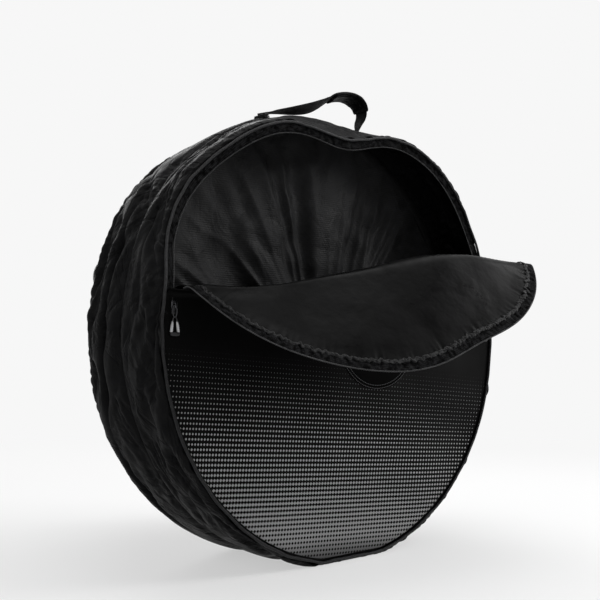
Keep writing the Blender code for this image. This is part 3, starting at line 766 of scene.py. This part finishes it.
def wall_relief(side, turn, t):
    """How far the side wall stands out, at angles about the axis and shares across its half.

    It sums a puff, long folds that wander along the wall and come and go, ridges and valleys that
    slant two ways and take turns along the wall, broad swells, small slanting folds here and there,
    and puckers that fade away from both seams. It is then pressed flat under the handle's tabs, and
    kept under a limit by a curve that levels off.
    """
    across, along = t * HALF_DEPTH, turn * BAG_RADIUS
    spans = (2 * np.pi * BAG_RADIUS, 0.4)
    seed = 20 if side == "front" else 60

    def heights(cell, k, slant=0.0):
        """Random heights over the wall, drawn along it by a slant times the way across."""
        return relief(along + slant * across, across, spans, cell, seed + k)

    out = WALL_PUFF * np.sin(np.pi * t) ** 0.7
    for k, (middle, width, depth) in enumerate(LONG_FOLDS[side]):
        wander = 0.20 * relief(along, 0 * along, spans, (0.34, 0.3), seed + 11 + k)
        strength = np.clip(0.7 + 0.55 * relief(along, 0 * along, spans, (0.26, 0.3), seed + 21 + k), 0, 1.5)
        offset = t - middle - wander * 0.5
        valley = np.exp(-np.sqrt(offset**2 + 0.0002) / width)
        out = out - depth * strength * (valley - 0.4 * bump(offset - 0.10, 0.08)) * ease(t / 0.12)
    loose = ease(np.sin(np.pi * t) * 1.5)
    patchy = ease(0.5 + 0.7 * heights((0.22, 0.10), 7))
    ridges = 0.75 - np.sqrt(heights((0.150, 0.24), 1, 2.6) ** 2 + 0.008)
    valleys = np.sqrt(heights((0.130, 0.20), 2, -1.6) ** 2 + 0.005) - 0.75
    out = out + loose * RIDGE_DEPTH * ridges * (1 - 0.6 * patchy)
    out = out + loose * VALLEY_DEPTH * valleys * (0.2 + 0.8 * patchy)
    out = out + loose * BROAD_DEPTH * heights((0.16, 0.10), 3)
    for slant, cell, depth, k in SLANTING_FOLDS:
        here = ease(0.1 + 0.9 * heights((0.13, 0.08), 13 + k))
        out = out + loose * here * depth * (np.sqrt(heights(cell, k, slant) ** 2 + 0.006) - 0.75)
    gathers = np.sqrt(relief(along, 0 * across, spans, (0.022, 0.1), seed + 9) ** 2 + 0.02) - 0.8
    near_seam = np.exp(-across / 0.020) + np.exp(-(HALF_DEPTH - across) / 0.018)
    out = out + SEAM_GATHER * gathers * ease(t / 0.12) * near_seam
    from_tab = np.abs(np.abs(np.mod(turn, 2 * np.pi) - np.pi / 2) - HANDLE_TURN) * BAG_RADIUS
    pressed = (1 - ease((from_tab - 0.012) / 0.03)) * (1 - ease((across - 0.018) / 0.02))
    out = np.where(out > 0, out * (1 - pressed), out)
    high = ease((np.sin(turn) - 0.55) / 0.25)
    low = ease((-np.sin(turn) - 0.35) / 0.35)
    limit = 0.009 - 0.006 * high - 0.005 * low
    return np.where(out > 0, limit * np.tanh(out / limit), out)


def side_wall(side):
    """Half of the side wall: the outline's radius carried from the middle seam to the face's seam.

    The radius is drawn in at both seams, stands out by the wall's relief, and sinks with the slack
    top edge, which also leans back. Nothing goes below the ground.
    """
    turn = full_turn(860)[:, None]
    t = np.linspace(0, 1, 52)[None, :]
    across = t * HALF_DEPTH
    inset = SEAM_DRAW * (np.exp(-across / 0.006) + np.exp(-(HALF_DEPTH - across) / 0.006))
    radius = outline(turn, inset - wall_relief(side, turn, t)) - rim_sag(turn, side) * ease(t / 0.95)
    x, w = polar(radius, turn)
    w = np.maximum(w, WALL_CLOTH + 0.0002 - AXIS_HEIGHT)
    points = placed(x, across - HALF_DEPTH - rim_lean(turn) * ease(t), w, side)
    return piece(
        side + "_side_wall",
        [grid(points, (True, False), flip=True)],
        NYLON,
        "shell",
        [side + "_gusset"],
        solid=WALL_CLOTH,
    )


def rim_path(turn, inset, f, side):
    """A line round a face near its rim: the outline drawn in, less the sag, and leaning with the edge."""
    x, w = polar(outline(turn, inset) - rim_sag(turn, side), turn)
    return placed(x, f - rim_lean(turn), w, side)


def piping(side):
    """The corded edge between the side wall and the face, a little uneven where it is sewn."""
    turn = full_turn(900)
    uneven = 0.0005 * relief(turn, 0 * turn, (2 * np.pi, 1), (0.12, 0.3), 31)
    path = rim_path(turn, SEAM_DRAW + 0.002 + uneven, 0.0003 + PIPING_RADIUS, side)
    part = swept(path, circle(PIPING_RADIUS, 10), closed=True)
    piece(side + "_piping_cord", [part], PIPING, "shell", [side + "_piping"])


# The faces


def gathered(share, gather):
    """Shares from 0 to 1 moved towards both ends, by a sine."""
    return share - gather * np.sin(2 * np.pi * share) / (2 * np.pi)


def half_disc(radius_at, low, counts, gather):
    """Flat places x, w over the part of a face above a height, as a grid without a pole.

    Two opposite edges of the grid run along the chord and the top of the arc, and the other two
    along the arc's sides. Points inside are the two straight blends of the edges, less that of
    their corners.
    """
    u, v = (gathered(np.linspace(0, 1, n), gather) for n in counts)
    start = math.asin(low / radius_at(0.1))
    corner = 0.30 * math.pi

    def arc(turn):
        """Places on the outline, at angles about the axis."""
        return np.stack(polar(radius_at(turn), turn), -1)

    right = arc(start + v * (corner - start))
    left = arc(math.pi - start - v * (corner - start))
    top = arc(math.pi - corner - u * (math.pi - 2 * corner))
    reach = right[0, 0]
    bottom = np.stack([left[0, 0] + u * (reach - left[0, 0]), np.full(len(u), low)], -1)
    uu, vv = u[:, None, None], v[None, :, None]
    inside = (1 - vv) * bottom[:, None] + vv * top[:, None] + (1 - uu) * left[None] + uu * right[None]
    ends = (1 - uu) * (1 - vv) * bottom[0] + uu * (1 - vv) * bottom[-1]
    places = inside - (ends + (1 - uu) * vv * top[0] + uu * vv * top[-1])
    return places[..., 0], places[..., 1]


def lower_disc(counts):
    """Flat places x, w over the part of a face below the split line, in rows from foot to split.

    Across a row they follow the sine of an angle that stops just short of a right angle.
    """
    nu, nv = counts
    low = PANEL_FOOT - AXIS_HEIGHT
    w = low + (SPLIT_RISE - low) * gathered(np.linspace(0, 1, nv), 0.7)[None, :]
    half = np.sqrt(RIM_RADIUS**2 - w**2)
    stop = 0.999
    across = np.sin(np.linspace(-1, 1, nu) * np.pi / 2 * stop)[:, None]
    return half * across / math.sin(np.pi / 2 * stop), w + np.zeros((nu, 1))


def flap_radius(inset):
    """The flap's outline: round, but drawn in a little at its top."""
    return lambda turn: FLAP_COIL_RADIUS - inset - sag(turn, FLAP_SAG)


def layer_heights(x, w, edge):
    """Heights of the outer and the inner cloth over a face, thin where they are sewn at the edge.

    They lie half the padding to either side of the face's form, which on the flap is lifted by half
    the padding and below it is lowered by as much.
    """
    lifted = ease((w - FOLD_RISE) / 0.06)
    thin = ease(1 - edge / 0.016)
    middle = swell(x, w) + (lifted - 0.5) * PADDING * (1 - thin)
    half = PADDING / 2 * (1 - thin) + 0.0006
    return middle + half, middle - half


def undulation(x, w, side):
    """Soft uneven places of a padded face, about a millimetre either way, the same for every layer."""
    seed = 71 if side == "front" else 75
    wide, small = relief(x, w, FACE_SPANS, 0.16, seed), relief(x, w, FACE_SPANS, 0.06, seed + 1)
    return 0.0009 * wide + 0.00012 * small


def puckers(turn, edge, seed):
    """Gathers that run in from a sewn edge and fade: sharp ridges where random heights cross zero."""
    gathers = 0.8 - np.abs(relief(turn * FLAP_COIL_RADIUS, 0 * turn, LINE_SPANS, (0.014, 0.3), seed))
    return 0.0013 * gathers * np.exp(-edge / 0.011)


def two_cloths(side, name, band, places, heights, covered, lined):
    """A face's outer vinyl and inner lining, over flat places x, w at an outer and an inner height."""
    x, w = places
    uv = np.stack([x, w], -1)
    cover = piece(
        side + name + "_cover",
        [grid(folded(x, w, heights[0], side), uv=uv)],
        DOTTED_VINYL,
        band,
        [side + node for node in covered],
        solid=FACE_CLOTH,
    )
    inside = piece(
        side + name + "_inside",
        [grid(folded(x, w, heights[1], side), uv=uv, flip=True)],
        LINING,
        band,
        [side + node for node in lined],
        solid=FACE_CLOTH / 2,
    )
    return cover, inside


def face_panel(side):
    """The lower panel and the root of the flap: outer vinyl and inner lining, bent at the fold."""
    first, _ = bands(side)
    x, w = lower_disc((180, 112))
    edge = np.maximum(np.minimum(RIM_RADIUS - np.hypot(x, w), w + AXIS_HEIGHT - PANEL_FOOT), 0)
    outer, inner = layer_heights(x, w, edge)
    soft = undulation(x, w, side) * ease(edge / 0.03)
    tuck = 0.0022 * np.exp(-edge / 0.005)
    heights = (outer + soft - tuck, inner + soft)
    covered, lined = ("_panel_skin", "_panel_foam"), ("_panel_lining",)
    return two_cloths(side, "_panel", first, (x, w), heights, covered, lined)


def flap(side):
    """The flap beyond its root: outer vinyl and inner lining, bent at the crease and drooping."""
    _, second = bands(side)
    x, w = half_disc(flap_radius(FLAP_SKIN_INSET), SPLIT_RISE, (210, 120), 0.45)
    radius, turn = np.hypot(x, w), np.arctan2(w, x)
    edge = np.maximum(FLAP_TAPE_INNER + 0.0005 - sag(turn, FLAP_SAG) - radius, 0)
    outer, inner = layer_heights(x, w, edge)
    soft = undulation(x, w, side) * ease(edge / 0.03)
    gathers = puckers(turn, edge, 84 if side == "front" else 94) * ease((w - SPLIT_RISE) / 0.02)
    covered = ("_flap_base_skin", "_flap_base_foam", "_flap_skin", "_flap_foam")
    lined = ("_flap_base_lining", "_flap_lining")
    return two_cloths(side, "_flap", second, (x, w), (outer + soft, inner + soft - gathers), covered, lined)


def arc_band(turn, radii, heights, side, flip):
    """A band that follows the flap's edge, from places along it, radii and heights over the flap."""
    radius = radii - sag(turn, FLAP_SAG)
    x, w = polar(radius, turn)
    points = folded(x, w, swell(x, w) + heights, side)
    uv = np.stack(np.broadcast_arrays(turn * FLAP_COIL_RADIUS, radii + 0 * turn), -1)
    return grid(points, uv=uv, flip=flip)


def flap_edge(side):
    """The flap's half of the zip: woven tape, the lining's gathered hem over it, and the coil."""
    _, second = bands(side)
    start = math.asin((SPLIT_RISE + 0.004) / FLAP_COIL_RADIUS)
    seed = 101 if side == "front" else 111
    turn = np.linspace(start, math.pi - start, 760)[:, None]
    across = np.linspace(0, 1, 9)[None, :]
    along = turn * FLAP_COIL_RADIUS
    ripple = 0.0006 * relief(along, across * 0.02, TAPE_SPANS, (0.009, 0.02), seed)
    radii = FLAP_TAPE_INNER - 0.003 + across * (FLAP_TAPE_OUTER - FLAP_TAPE_INNER + 0.004)
    piece(
        side + "_flap_tape_cloth",
        [arc_band(turn, radii, ripple + 0.0002, side, True)],
        ZIP_TAPE,
        second,
        [side + "_flap_base_tape", side + "_flap_tape"],
        solid=TAPE_CLOTH,
    )
    ragged = 0.0014 * relief(along, 0 * turn, LINE_SPANS, (0.006, 0.3), seed + 1)
    gathers = 0.8 - np.abs(relief(along, across * 0.02, TAPE_SPANS, (0.006, 0.02), seed + 2))
    radii = FLAP_TAPE_INNER - 0.0050 + ragged + across * 0.0060
    roll = np.sin(np.pi * np.clip(across * 1.02, 0, 1)) ** 0.6
    heights = -0.0006 - (0.0009 + 0.0011 * gathers) * roll
    part = arc_band(turn, radii, heights, side, True)
    piece(side + "_flap_hem", [part], HEM, second, (), solid=HEM_CLOTH)
    teeth(side + "_flap_teeth", side, start, second, [side + "_flap_base_coil", side + "_flap_coil"], True)


def teeth(name, side, start, body, replaces, on_flap):
    """A zip coil: a round bead whose thickness follows a cosine, one wave to a tooth."""
    steps_a_tooth = 5
    radius = FLAP_COIL_RADIUS if on_flap else SHELL_COIL_RADIUS
    count = int((math.pi - 2 * start) * radius / TOOTH_PITCH * steps_a_tooth)
    turn = np.linspace(start, math.pi - start, count)
    length = radius - (sag(turn, FLAP_SAG) if on_flap else rim_sag(turn, side))
    x, w = polar(length, turn)
    path = folded(x, w, swell(x, w), side) if on_flap else placed(x, -ZIP_SINK - rim_lean(turn), w, side)
    tooth = 0.86 + 0.32 * np.cos(turn * radius / TOOTH_PITCH * 2 * np.pi)
    tooth[[0, -1]] = 0.5
    part = swept(path, circle(COIL_RADIUS, 7), up=(0.05, 1, 0.03), scale=tooth)
    piece(name, [part], COIL, body, replaces)


def shell_zip(side):
    """The fixed half of the zip: tape from the coil out under the piping, and its coil."""
    start = math.asin(ZIP_END_RISE / ZIP_RADIUS) + 0.001
    turn = np.linspace(start, math.pi - start, 640)[:, None]
    across = np.linspace(0, 1, 8)[None, :]
    radius = SHELL_TAPE_INNER + across * (RIM_RADIUS + 0.0018 - SHELL_TAPE_INNER) - rim_sag(turn, side)
    ripple = 0.0007 * relief(turn * ZIP_RADIUS, across * 0.02, TAPE_SPANS, (0.02, 0.05), 121)
    x, w = polar(radius, turn)
    points = placed(x, ripple - ZIP_SINK - rim_lean(turn), w, side)
    uv = np.stack(np.broadcast_arrays(turn * ZIP_RADIUS, radius), -1)
    piece(
        side + "_zip_tape_cloth",
        [grid(points, uv=uv, flip=True)],
        ZIP_TAPE,
        "shell",
        [side + "_zip_tape"],
        solid=TAPE_CLOTH,
    )
    teeth(side + "_zip_teeth", side, start, "shell", [side + "_zip_coil"], False)


def stitches(path, up, length, gap, thick):
    """Stitches along a path: short beads that swell from a third and back, one to each step."""
    gone = length_along(path)
    parts = []
    for k in range(int(gone[-1] / (length + gap))):
        places = k * (length + gap) + np.linspace(0, length, 5)
        line = np.stack([np.interp(places, gone, path[:, axis]) for axis in range(3)], -1)
        parts.append(swept(line, circle(thick, 5), up=up, scale=[0.35, 0.9, 1, 0.9, 0.35], uv=False))
    return parts


def patch(side):
    """The smooth round patch on a face, bent with it at the fold, and the two rows that sew it down.

    It stands over the cover by a puff that falls to its edge with the sixth power of the radius,
    less a groove under the stitches.
    """
    first, _ = bands(side)

    def over(turn, radius, raised):
        """Flat places at angles and radii about the patch's middle, and points raised over the cover."""
        x, w = (middle + place for middle, place in zip(PATCH_MIDDLE, polar(radius, turn)))
        outer, _ = layer_heights(x, w, np.full(x.shape, 1.0))
        return np.stack([x, w], -1), folded(x, w, outer + undulation(x, w, side) + raised, side)

    share = np.linspace(0.02, 1, 36)[None, :]
    puff = 0.0009 + 0.0008 * (1 - share**6) - 0.0007 * bump(share - 0.955, 0.02)
    uv, points = over(full_turn(160)[:, None], PATCH_RADIUS * share, puff)
    cover = piece(
        side + "_round_patch_cover",
        [grid(points, (True, False), uv=np.concatenate([uv, uv[:1]]), flip=True, pole=True)],
        PLAIN_VINYL,
        first,
        [side + "_round_patch", side + "_round_patch_top"],
        solid=PATCH_CLOTH,
    )
    rows = []
    for inset in (0.0022, 0.0070):
        _, line = over(np.linspace(0, 2 * np.pi, 400), PATCH_RADIUS - inset, 0.0014)
        rows += stitches(line, (0, 1, 0.01), 0.0028, 0.0012, 0.00042)
    seam = piece(side + "_patch_stitches", rows, THREAD, first, ())


# The divider


def divider():
    """The cloth wall between the compartments: a round sheet with slack folds that fan out from low.

    Its folds are random heights over the angle and the distance from the fan's middle: broad ones,
    sharp ridges where a height crosses zero, and finer ones, levelled off at the slack's limit and
    gone at the rim. The two faces lie apart by the cloth, which thins at the rim. A binding is
    swept round it.
    """
    turn = full_turn(480)[:, None]
    share = np.linspace(0.006, 1, 84)[None, :]
    radius = share * outline(turn, DIVIDER_INSET)
    x, w = polar(radius, turn)
    slack = np.sin(np.pi * np.clip(share, 0, 1) ** 1.3) ** 0.8
    fan = np.arctan2(x - FAN_MIDDLE[0], w - FAN_MIDDLE[1])
    far = np.hypot(x - FAN_MIDDLE[0], w - FAN_MIDDLE[1])
    folds = relief(fan, far, FAN_SPANS, (0.42, 0.60), 131)
    sharp = 0.7 - np.abs(relief(fan, far, FAN_SPANS, (0.34, 0.50), 137))
    away = ease((far - 0.03) / 0.12)
    y = slack * away * (0.0066 * folds - 0.0074 * sharp)
    fine = np.abs(relief(fan, far, FAN_SPANS, (0.15, 0.34), 147)) - 0.8
    y = y + slack * (0.0050 * away * fine + 0.0016 * relief(x, w, FACE_SPANS, 0.05, 141))
    y = DIVIDER_SLACK * np.tanh(y / DIVIDER_SLACK)
    thick = DIVIDER_HALF_CLOTH * ease((1 - share) / 0.02 + 0.4)
    front, rear = (np.stack([x, y + sign * thick, AXIS_HEIGHT + w], -1) for sign in (-1, 1))
    parts = [grid(front, (True, False), flip=True, pole=True), grid(rear, (True, False), pole=True)]
    parts.append(grid(np.stack([front[:, -1], rear[:, -1]], 1), (True, False), flip=True))
    made = piece("divider_cloth", parts, DIVIDER_NYLON, "shell", ["divider"])
    turn = full_turn(720)
    x, w = polar(outline(turn, BINDING_INSET), turn)
    path = np.stack([x, 0 * turn, AXIS_HEIGHT + w], -1)
    half = np.array([(0.0012, -0.0070), (0.0024, -0.0068), (0.0026, 0), (0.0026, 0.0096), (0.0012, 0.0102)])
    section = np.vstack([half, half[::-1] * [-1, 1]])
    inward = np.stack([np.cos(turn), 0 * turn, np.sin(turn)], -1)
    part = swept(path, section, up=inward, closed=True)
    piece("divider_edge", [part], WEBBING, "shell", ["divider_binding"])


# Sliders, pulls and the handle


def slider_middle(hand):
    """A slider's middle, right, forward and up: at one end of the zip, and sunk a little."""
    sign = -1 if hand == "left" else 1
    return sign * math.sqrt(ZIP_RADIUS**2 - SLIDER_RISE**2), -SLIDER_SINK, SLIDER_RISE


def slider(side, hand):
    """A zip slider: two plates with rounded edges, a post between them, and a bridge for the pull.

    A plate's outline is a rounded box, narrower below by a sine. All of it is turned to lie along
    the zip.
    """
    name = side + "_" + hand
    right, forward, up = slider_middle(hand)
    tilt = math.copysign(SLIDER_TURN, right)

    def seat(local):
        """Local points right, forward, up, turned to lie along the zip."""
        x, f, w = local[..., 0], local[..., 1], local[..., 2]
        xx = x * math.cos(tilt) - w * math.sin(tilt)
        ww = x * math.sin(tilt) + w * math.cos(tilt)
        return placed(right + xx, forward + f, up + ww, side)

    ring = rounded(0.0060, 0.0070, (0.65, 0.75), 40)
    ring[:, 0] *= 0.80 + 0.20 * np.sin(full_turn(40))
    parts = []
    for low, high in PLATES:
        rows = ((low, 0.92), (low + 0.0002, 1.0), (high - 0.0003, 1.0), (high - 0.0001, 0.96), (high, 0.88))
        loops = [np.insert(ring * shrink, 1, height, axis=1) for height, shrink in rows]
        parts.append(lofted(seat(np.array(loops))))
    foot = np.array([(-0.00045, 0.0045), (0.00045, 0.0045), (0.00045, 0.0065), (-0.00045, 0.0065)])
    post = np.array([np.insert(foot, 1, height, axis=1) for height in (-0.0015, 0.0015)])
    parts.append(lofted(seat(post)))
    bow = np.linspace(0, np.pi, 17)
    line = np.stack([0 * bow, 0.0020 + 0.0037 * np.sin(bow) ** 0.7, 0.0040 * np.cos(bow)], -1)
    aside = seat(np.array([1.0, 0, 0])) - seat(np.zeros(3))
    # The section's two directions are changed over, and its order with them, so that it faces out
    standing = strip_section(0.0024, 0.0011, 3)[::-1, ::-1]
    parts.append(swept(seat(line), standing, up=aside, uv=False))
    piece(name + "_slider_body", parts, METAL, name + "_slider", [name + "_slider"])


def pull(side, hand):
    """What hangs from a slider's pin: a link, a loop with two sleeves of cord, and a moulded end."""
    name = side + "_" + hand
    body = name + "_puller"
    right, forward, up = slider_middle(hand)

    def hung(local):
        """Local points right, forward, up, from the pin."""
        return placed(right + local[..., 0], forward + PIN_RISE + local[..., 1], up + local[..., 2], side)

    turn = full_turn(36)
    ring = np.stack([0.0034 * np.cos(turn), 0 * turn, 0.0082 * np.sin(turn) - 0.0078], -1)
    link = swept(hung(ring), circle(0.0008, 8), closed=True)
    piece(name + "_link", [link], METAL, body, ())
    bend = np.linspace(np.pi, 0, 13)
    top = np.stack([0.0030 * np.cos(bend), 0 * bend, -LOOP_DROP + 0.0030 * np.sin(bend)], -1)
    down = np.linspace(0, 1, 12)[1:]
    leg = np.stack([0.0030 + 0.0022 * down, 0 * down, -LOOP_DROP - LOOP_DROP * down], -1)
    loop = swept(hung(np.vstack([leg[::-1] * [-1, 1, 1], top, leg])), circle(0.00095, 10))
    shares = np.linspace(0, 1, 16)
    plump = 0.62 + 0.38 * ease(shares * 1.8)
    plump[[0, -1]] *= 0.8
    drop = -SLEEVE_TOP - SLEEVE_LENGTH * shares
    sleeves = []
    for sign in (-1, 1):
        path = np.stack([sign * (0.0034 + 0.0023 * shares), 0 * shares, drop], -1)
        sleeves.append(swept(hung(path), circle(1, 14) * [0.0021, 0.0014], scale=plump))
    piece(name + "_cord", sleeves, CORD, body, [name + "_pull_cord"])
    ring = rounded(0.0074, 0.0021, (0.5, 0.7), 28)
    loops = [
        np.insert(ring * (wide, 0.55 + 0.45 * wide), 2, -GRIP_TOP - depth, axis=1)
        for depth, wide in GRIP_PROFILE
    ]
    end = lofted(hung(np.array(loops)))
    piece(name + "_grip", [loop, end], GRIP, body, [name + "_pull_grip"])


def strap_line(steps):
    """The strap's middle line, a smooth curve through places given as shares of its span and rise.

    Between two places it is the cubic whose slope at each is half the step between its neighbours.
    """
    seat = TAB_SEAT + TAB_HEIGHT + STRAP_GAP + STRAP_THICKNESS / 2
    aside, up = np.array(STRAP_PATH_SHARES).T
    far, turn = seat + HANDLE_RISE * up, aside * HANDLE_TURN
    known = np.stack([far * np.sin(turn), far * np.cos(turn)], -1)
    padded = np.vstack([2 * known[0] - known[1], known, 2 * known[-1] - known[-2]])
    t = np.linspace(0, len(known) - 1, steps)
    k = np.minimum(t.astype(int), len(known) - 2)
    u = (t - k)[:, None]
    a, b, c, d = (padded[k + shift] for shift in range(4))
    line = 0.5 * (2 * b + (c - a) * u + (2 * a - 5 * b + 4 * c - d) * u**2 + (3 * b - a - 3 * c + d) * u**3)
    return np.stack([line[:, 0], 0 * t, AXIS_HEIGHT + line[:, 1]], -1), t / t[-1]


def handle():
    """The carrying handle: a webbing strap between two tabs, and a padded sleeve sewn round it.

    The strap narrows to an edge where it is gathered towards the tabs, and grows thicker there. It
    twists about its line by two smooth hills, and waves a little.
    """
    line, share = strap_line(170)
    full = np.interp(share, (0, 0.10, 0.17, 0.79, 0.885, 1), (0, 0, 1, 1, 0, 0))
    width = STRAP_EDGE + (STRAP_WIDTH - STRAP_EDGE) * full
    flat = strip_section(STRAP_WIDTH, STRAP_THICKNESS, 8)
    sections = np.repeat(flat[None], len(line), 0)
    sections[..., 0] *= (width / STRAP_WIDTH)[:, None]
    thicker = (1 + 0.9 * (1 - width / STRAP_WIDTH))[:, None]
    sections[..., 1] *= thicker * np.where(flat[:, 1] > 0, 1, 0.55)[None, :]
    wave = 0.0008 * relief(share * 0.4, 0 * share, (0.6, 1), (0.05, 0.3), 151)
    sections[..., 1] += (wave * ease((width - STRAP_EDGE) / 0.02))[:, None]
    ahead = np.gradient(line, axis=0)
    up = np.stack([-ahead[:, 2], 0 * share, ahead[:, 0]], -1)
    up /= np.linalg.norm(up, axis=1)[:, None]
    twist = math.radians(38) * (bump(share - 0.36, 0.12) + 0.35 * bump(share - 0.62, 0.12))[:, None]
    up = up * np.cos(twist) + np.array([0, 1, 0]) * np.sin(twist)
    strap = swept(line, sections, up=up)
    piece("handle_webbing", [strap], WEBBING, "handle", ["handle_strap"])
    first, last = SLEEVE_ENDS
    part, up = line[first : last + 1], up[first : last + 1]
    count = len(part)
    swollen = 0.90 + 0.10 * np.sin(np.linspace(0, np.pi, count)) ** 0.5
    swollen += 0.02 * relief(np.linspace(0, 0.1, count), np.zeros(count), (0.3, 1), (0.02, 0.3), 161)
    ends = np.interp(np.arange(count), (0, 1.5, count - 2.5, count - 1), (0.93, 1, 1, 0.93))
    sleeve = swept(part, rounded(0.0172, 0.0046, (0.8, 0.8), 36), up=up, scale=swollen * ends)
    wrap = piece("handle_sleeve", [sleeve], NYLON, "handle", ["handle_wrap"])
    rows = []
    for offset in (-0.0125, 0.0125):
        row = part[2:-2] + up[2:-2] * 0.0042 + np.array([0, offset, 0])
        rows += stitches(row, up[20], 0.0030, 0.0014, 0.0004)
    piece("handle_stitches", rows, THREAD, "handle", ())
    for hand, sign in (("left", -1), ("right", 1)):
        tab(hand, sign)


def tab(hand, sign):
    """A tab that holds one end of the strap: layers with rounded edges, and a square of stitches."""
    out = np.array([sign * math.sin(HANDLE_TURN), 0, math.cos(HANDLE_TURN)])
    along = np.array([math.cos(HANDLE_TURN), 0, -sign * math.sin(HANDLE_TURN)])
    across = np.array([0, 1, 0])
    centre = np.array([0, 0, AXIS_HEIGHT]) + out * (TAB_SEAT + TAB_HEIGHT / 2)
    layers = []
    for high, wide in TAB_LAYERS:
        ring = rounded(0.0070, 0.0148, (0.35, 0.35), 48) * wide
        loops = [
            centre + out * (high + rise) + along * ring[:, :1] * shrink + across * ring[:, 1:] * shrink
            for rise, shrink in ((-0.0009, 0.94), (-0.0005, 1.0), (0.0005, 1.0), (0.0009, 0.94))
        ]
        layers.append(lofted(loops))
    piece("handle_" + hand + "_tab", layers, WEBBING, "shell", ["handle_tab_" + hand])
    square = np.array([(-1, -1), (-1, 1), (1, 1), (1, -1), (-1, -1)]) * (0.0046, 0.0105)
    corners = [centre + out * 0.0047 + along * a + across * b for a, b in square]
    path = np.vstack([np.linspace(a, b, 12) for a, b in zip(corners, corners[1:])])
    rows = stitches(path, out, 0.0026, 0.0012, 0.0004)
    piece("handle_" + hand + "_tab_stitches", rows, THREAD, "shell", ())


# The room


def seen(tree):
    """1 for rays that look straight, by a reflection or through glass, and 0 for those that light."""
    path = wire(tree, "LightPath").outputs
    by_reflection = maths(tree, "MAXIMUM", path["Is Glossy Ray"], path["Is Transmission Ray"])
    return maths(tree, "MAXIMUM", path["Is Camera Ray"], by_reflection)


def room():
    """A pale floor, a white world behind it, soft lamps, and the camera at the photograph's place."""
    world = bpy.data.worlds.new("studio")
    bpy.context.scene.world = world
    world.use_nodes = True
    tree = world.node_tree
    back = tree.nodes["Background"]
    back.inputs["Color"].default_value = (1, 1, 1, 1)
    tree.links.new(ramp(tree, seen(tree), 0, 1, 0.30, 0.93), back.inputs["Strength"])
    mesh = bpy.data.meshes.new("floor")
    mesh.from_pydata([(-30, -30, 0), (30, -30, 0), (30, 30, 0), (-30, 30, 0)], [], [(0, 1, 2, 3)])
    floor = bpy.data.objects.new("floor", mesh)
    bpy.context.scene.collection.objects.link(floor)
    made, tree, bsdf = shader("floor", (0.88, 0.88, 0.88), 0.9, Specular_IOR_Level=0.0)
    _, (x, y, _) = object_place(tree)
    squares = maths(tree, "ADD", maths(tree, "MULTIPLY", x, x), maths(tree, "MULTIPLY", y, y))
    glow = wire(tree, "Emission", {"Color": (1, 1, 1, 1), "Strength": 0.93})
    clear = ramp(tree, maths(tree, "SQRT", squares), 0.5, 2.2, 0.55, 1.0)
    share = maths(tree, "MULTIPLY", clear, seen(tree))
    mix = wire(tree, "MixShader", {0: share, 1: bsdf.outputs[0], 2: glow.outputs[0]})
    tree.links.new(mix.outputs[0], tree.nodes["Material Output"].inputs["Surface"])
    mesh.materials.append(made)
    for name, place, size, power in LAMPS:
        lamp = bpy.data.lights.new(name, "AREA")
        lamp.energy = power
        lamp.size = size
        made = bpy.data.objects.new(name, lamp)
        bpy.context.scene.collection.objects.link(made)
        made.location = place
        made.rotation_euler = (Vector(LAMPS_FACE) - Vector(place)).to_track_quat("-Z", "Y").to_euler()
    data = bpy.data.cameras.new("camera")
    camera = bpy.data.objects.new("camera", data)
    bpy.context.scene.collection.objects.link(camera)
    cos, sin = math.cos(CAMERA_ELEVATION), math.sin(CAMERA_ELEVATION)
    back = Vector((math.sin(CAMERA_AZIMUTH) * cos, -math.cos(CAMERA_AZIMUTH) * cos, sin))
    camera.location = Vector((0, 0, AXIS_HEIGHT)) + back * CAMERA_DISTANCE
    camera.rotation_euler = (-back).to_track_quat("-Z", "Y").to_euler()
    data.sensor_width = SENSOR
    data.lens = FOCAL_PIXELS / PHOTO_WIDTH * SENSOR
    data.shift_x = (PHOTO_WIDTH / 2 - AXIS_PIXEL[0]) / PHOTO_WIDTH
    data.shift_y = (AXIS_PIXEL[1] - PHOTO_WIDTH / 2) / PHOTO_WIDTH
    data.clip_start, data.clip_end = 0.05, 100
    bpy.context.scene.camera = camera
    bpy.context.scene.view_settings.view_transform = "Standard"


def build():
    """The whole bag and its room."""
    room()
    for side in ("front", "rear"):
        side_wall(side)
        piping(side)
        for (cover, inside), flat, area in (
            (face_panel(side), (0.709, 0.410), 0.2402),
            (flap(side), (0.633, 0.247), 0.1215),
        ):
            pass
        flap_edge(side)
        shell_zip(side)
        patch(side)
        for hand in ("left", "right"):
            slider(side, hand)
            pull(side, hand)
            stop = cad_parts[side + "_zip_stop_" + hand]
            stop.data.materials.clear()
            stop.data.materials.append(METAL)
    divider()
    handle()


build()
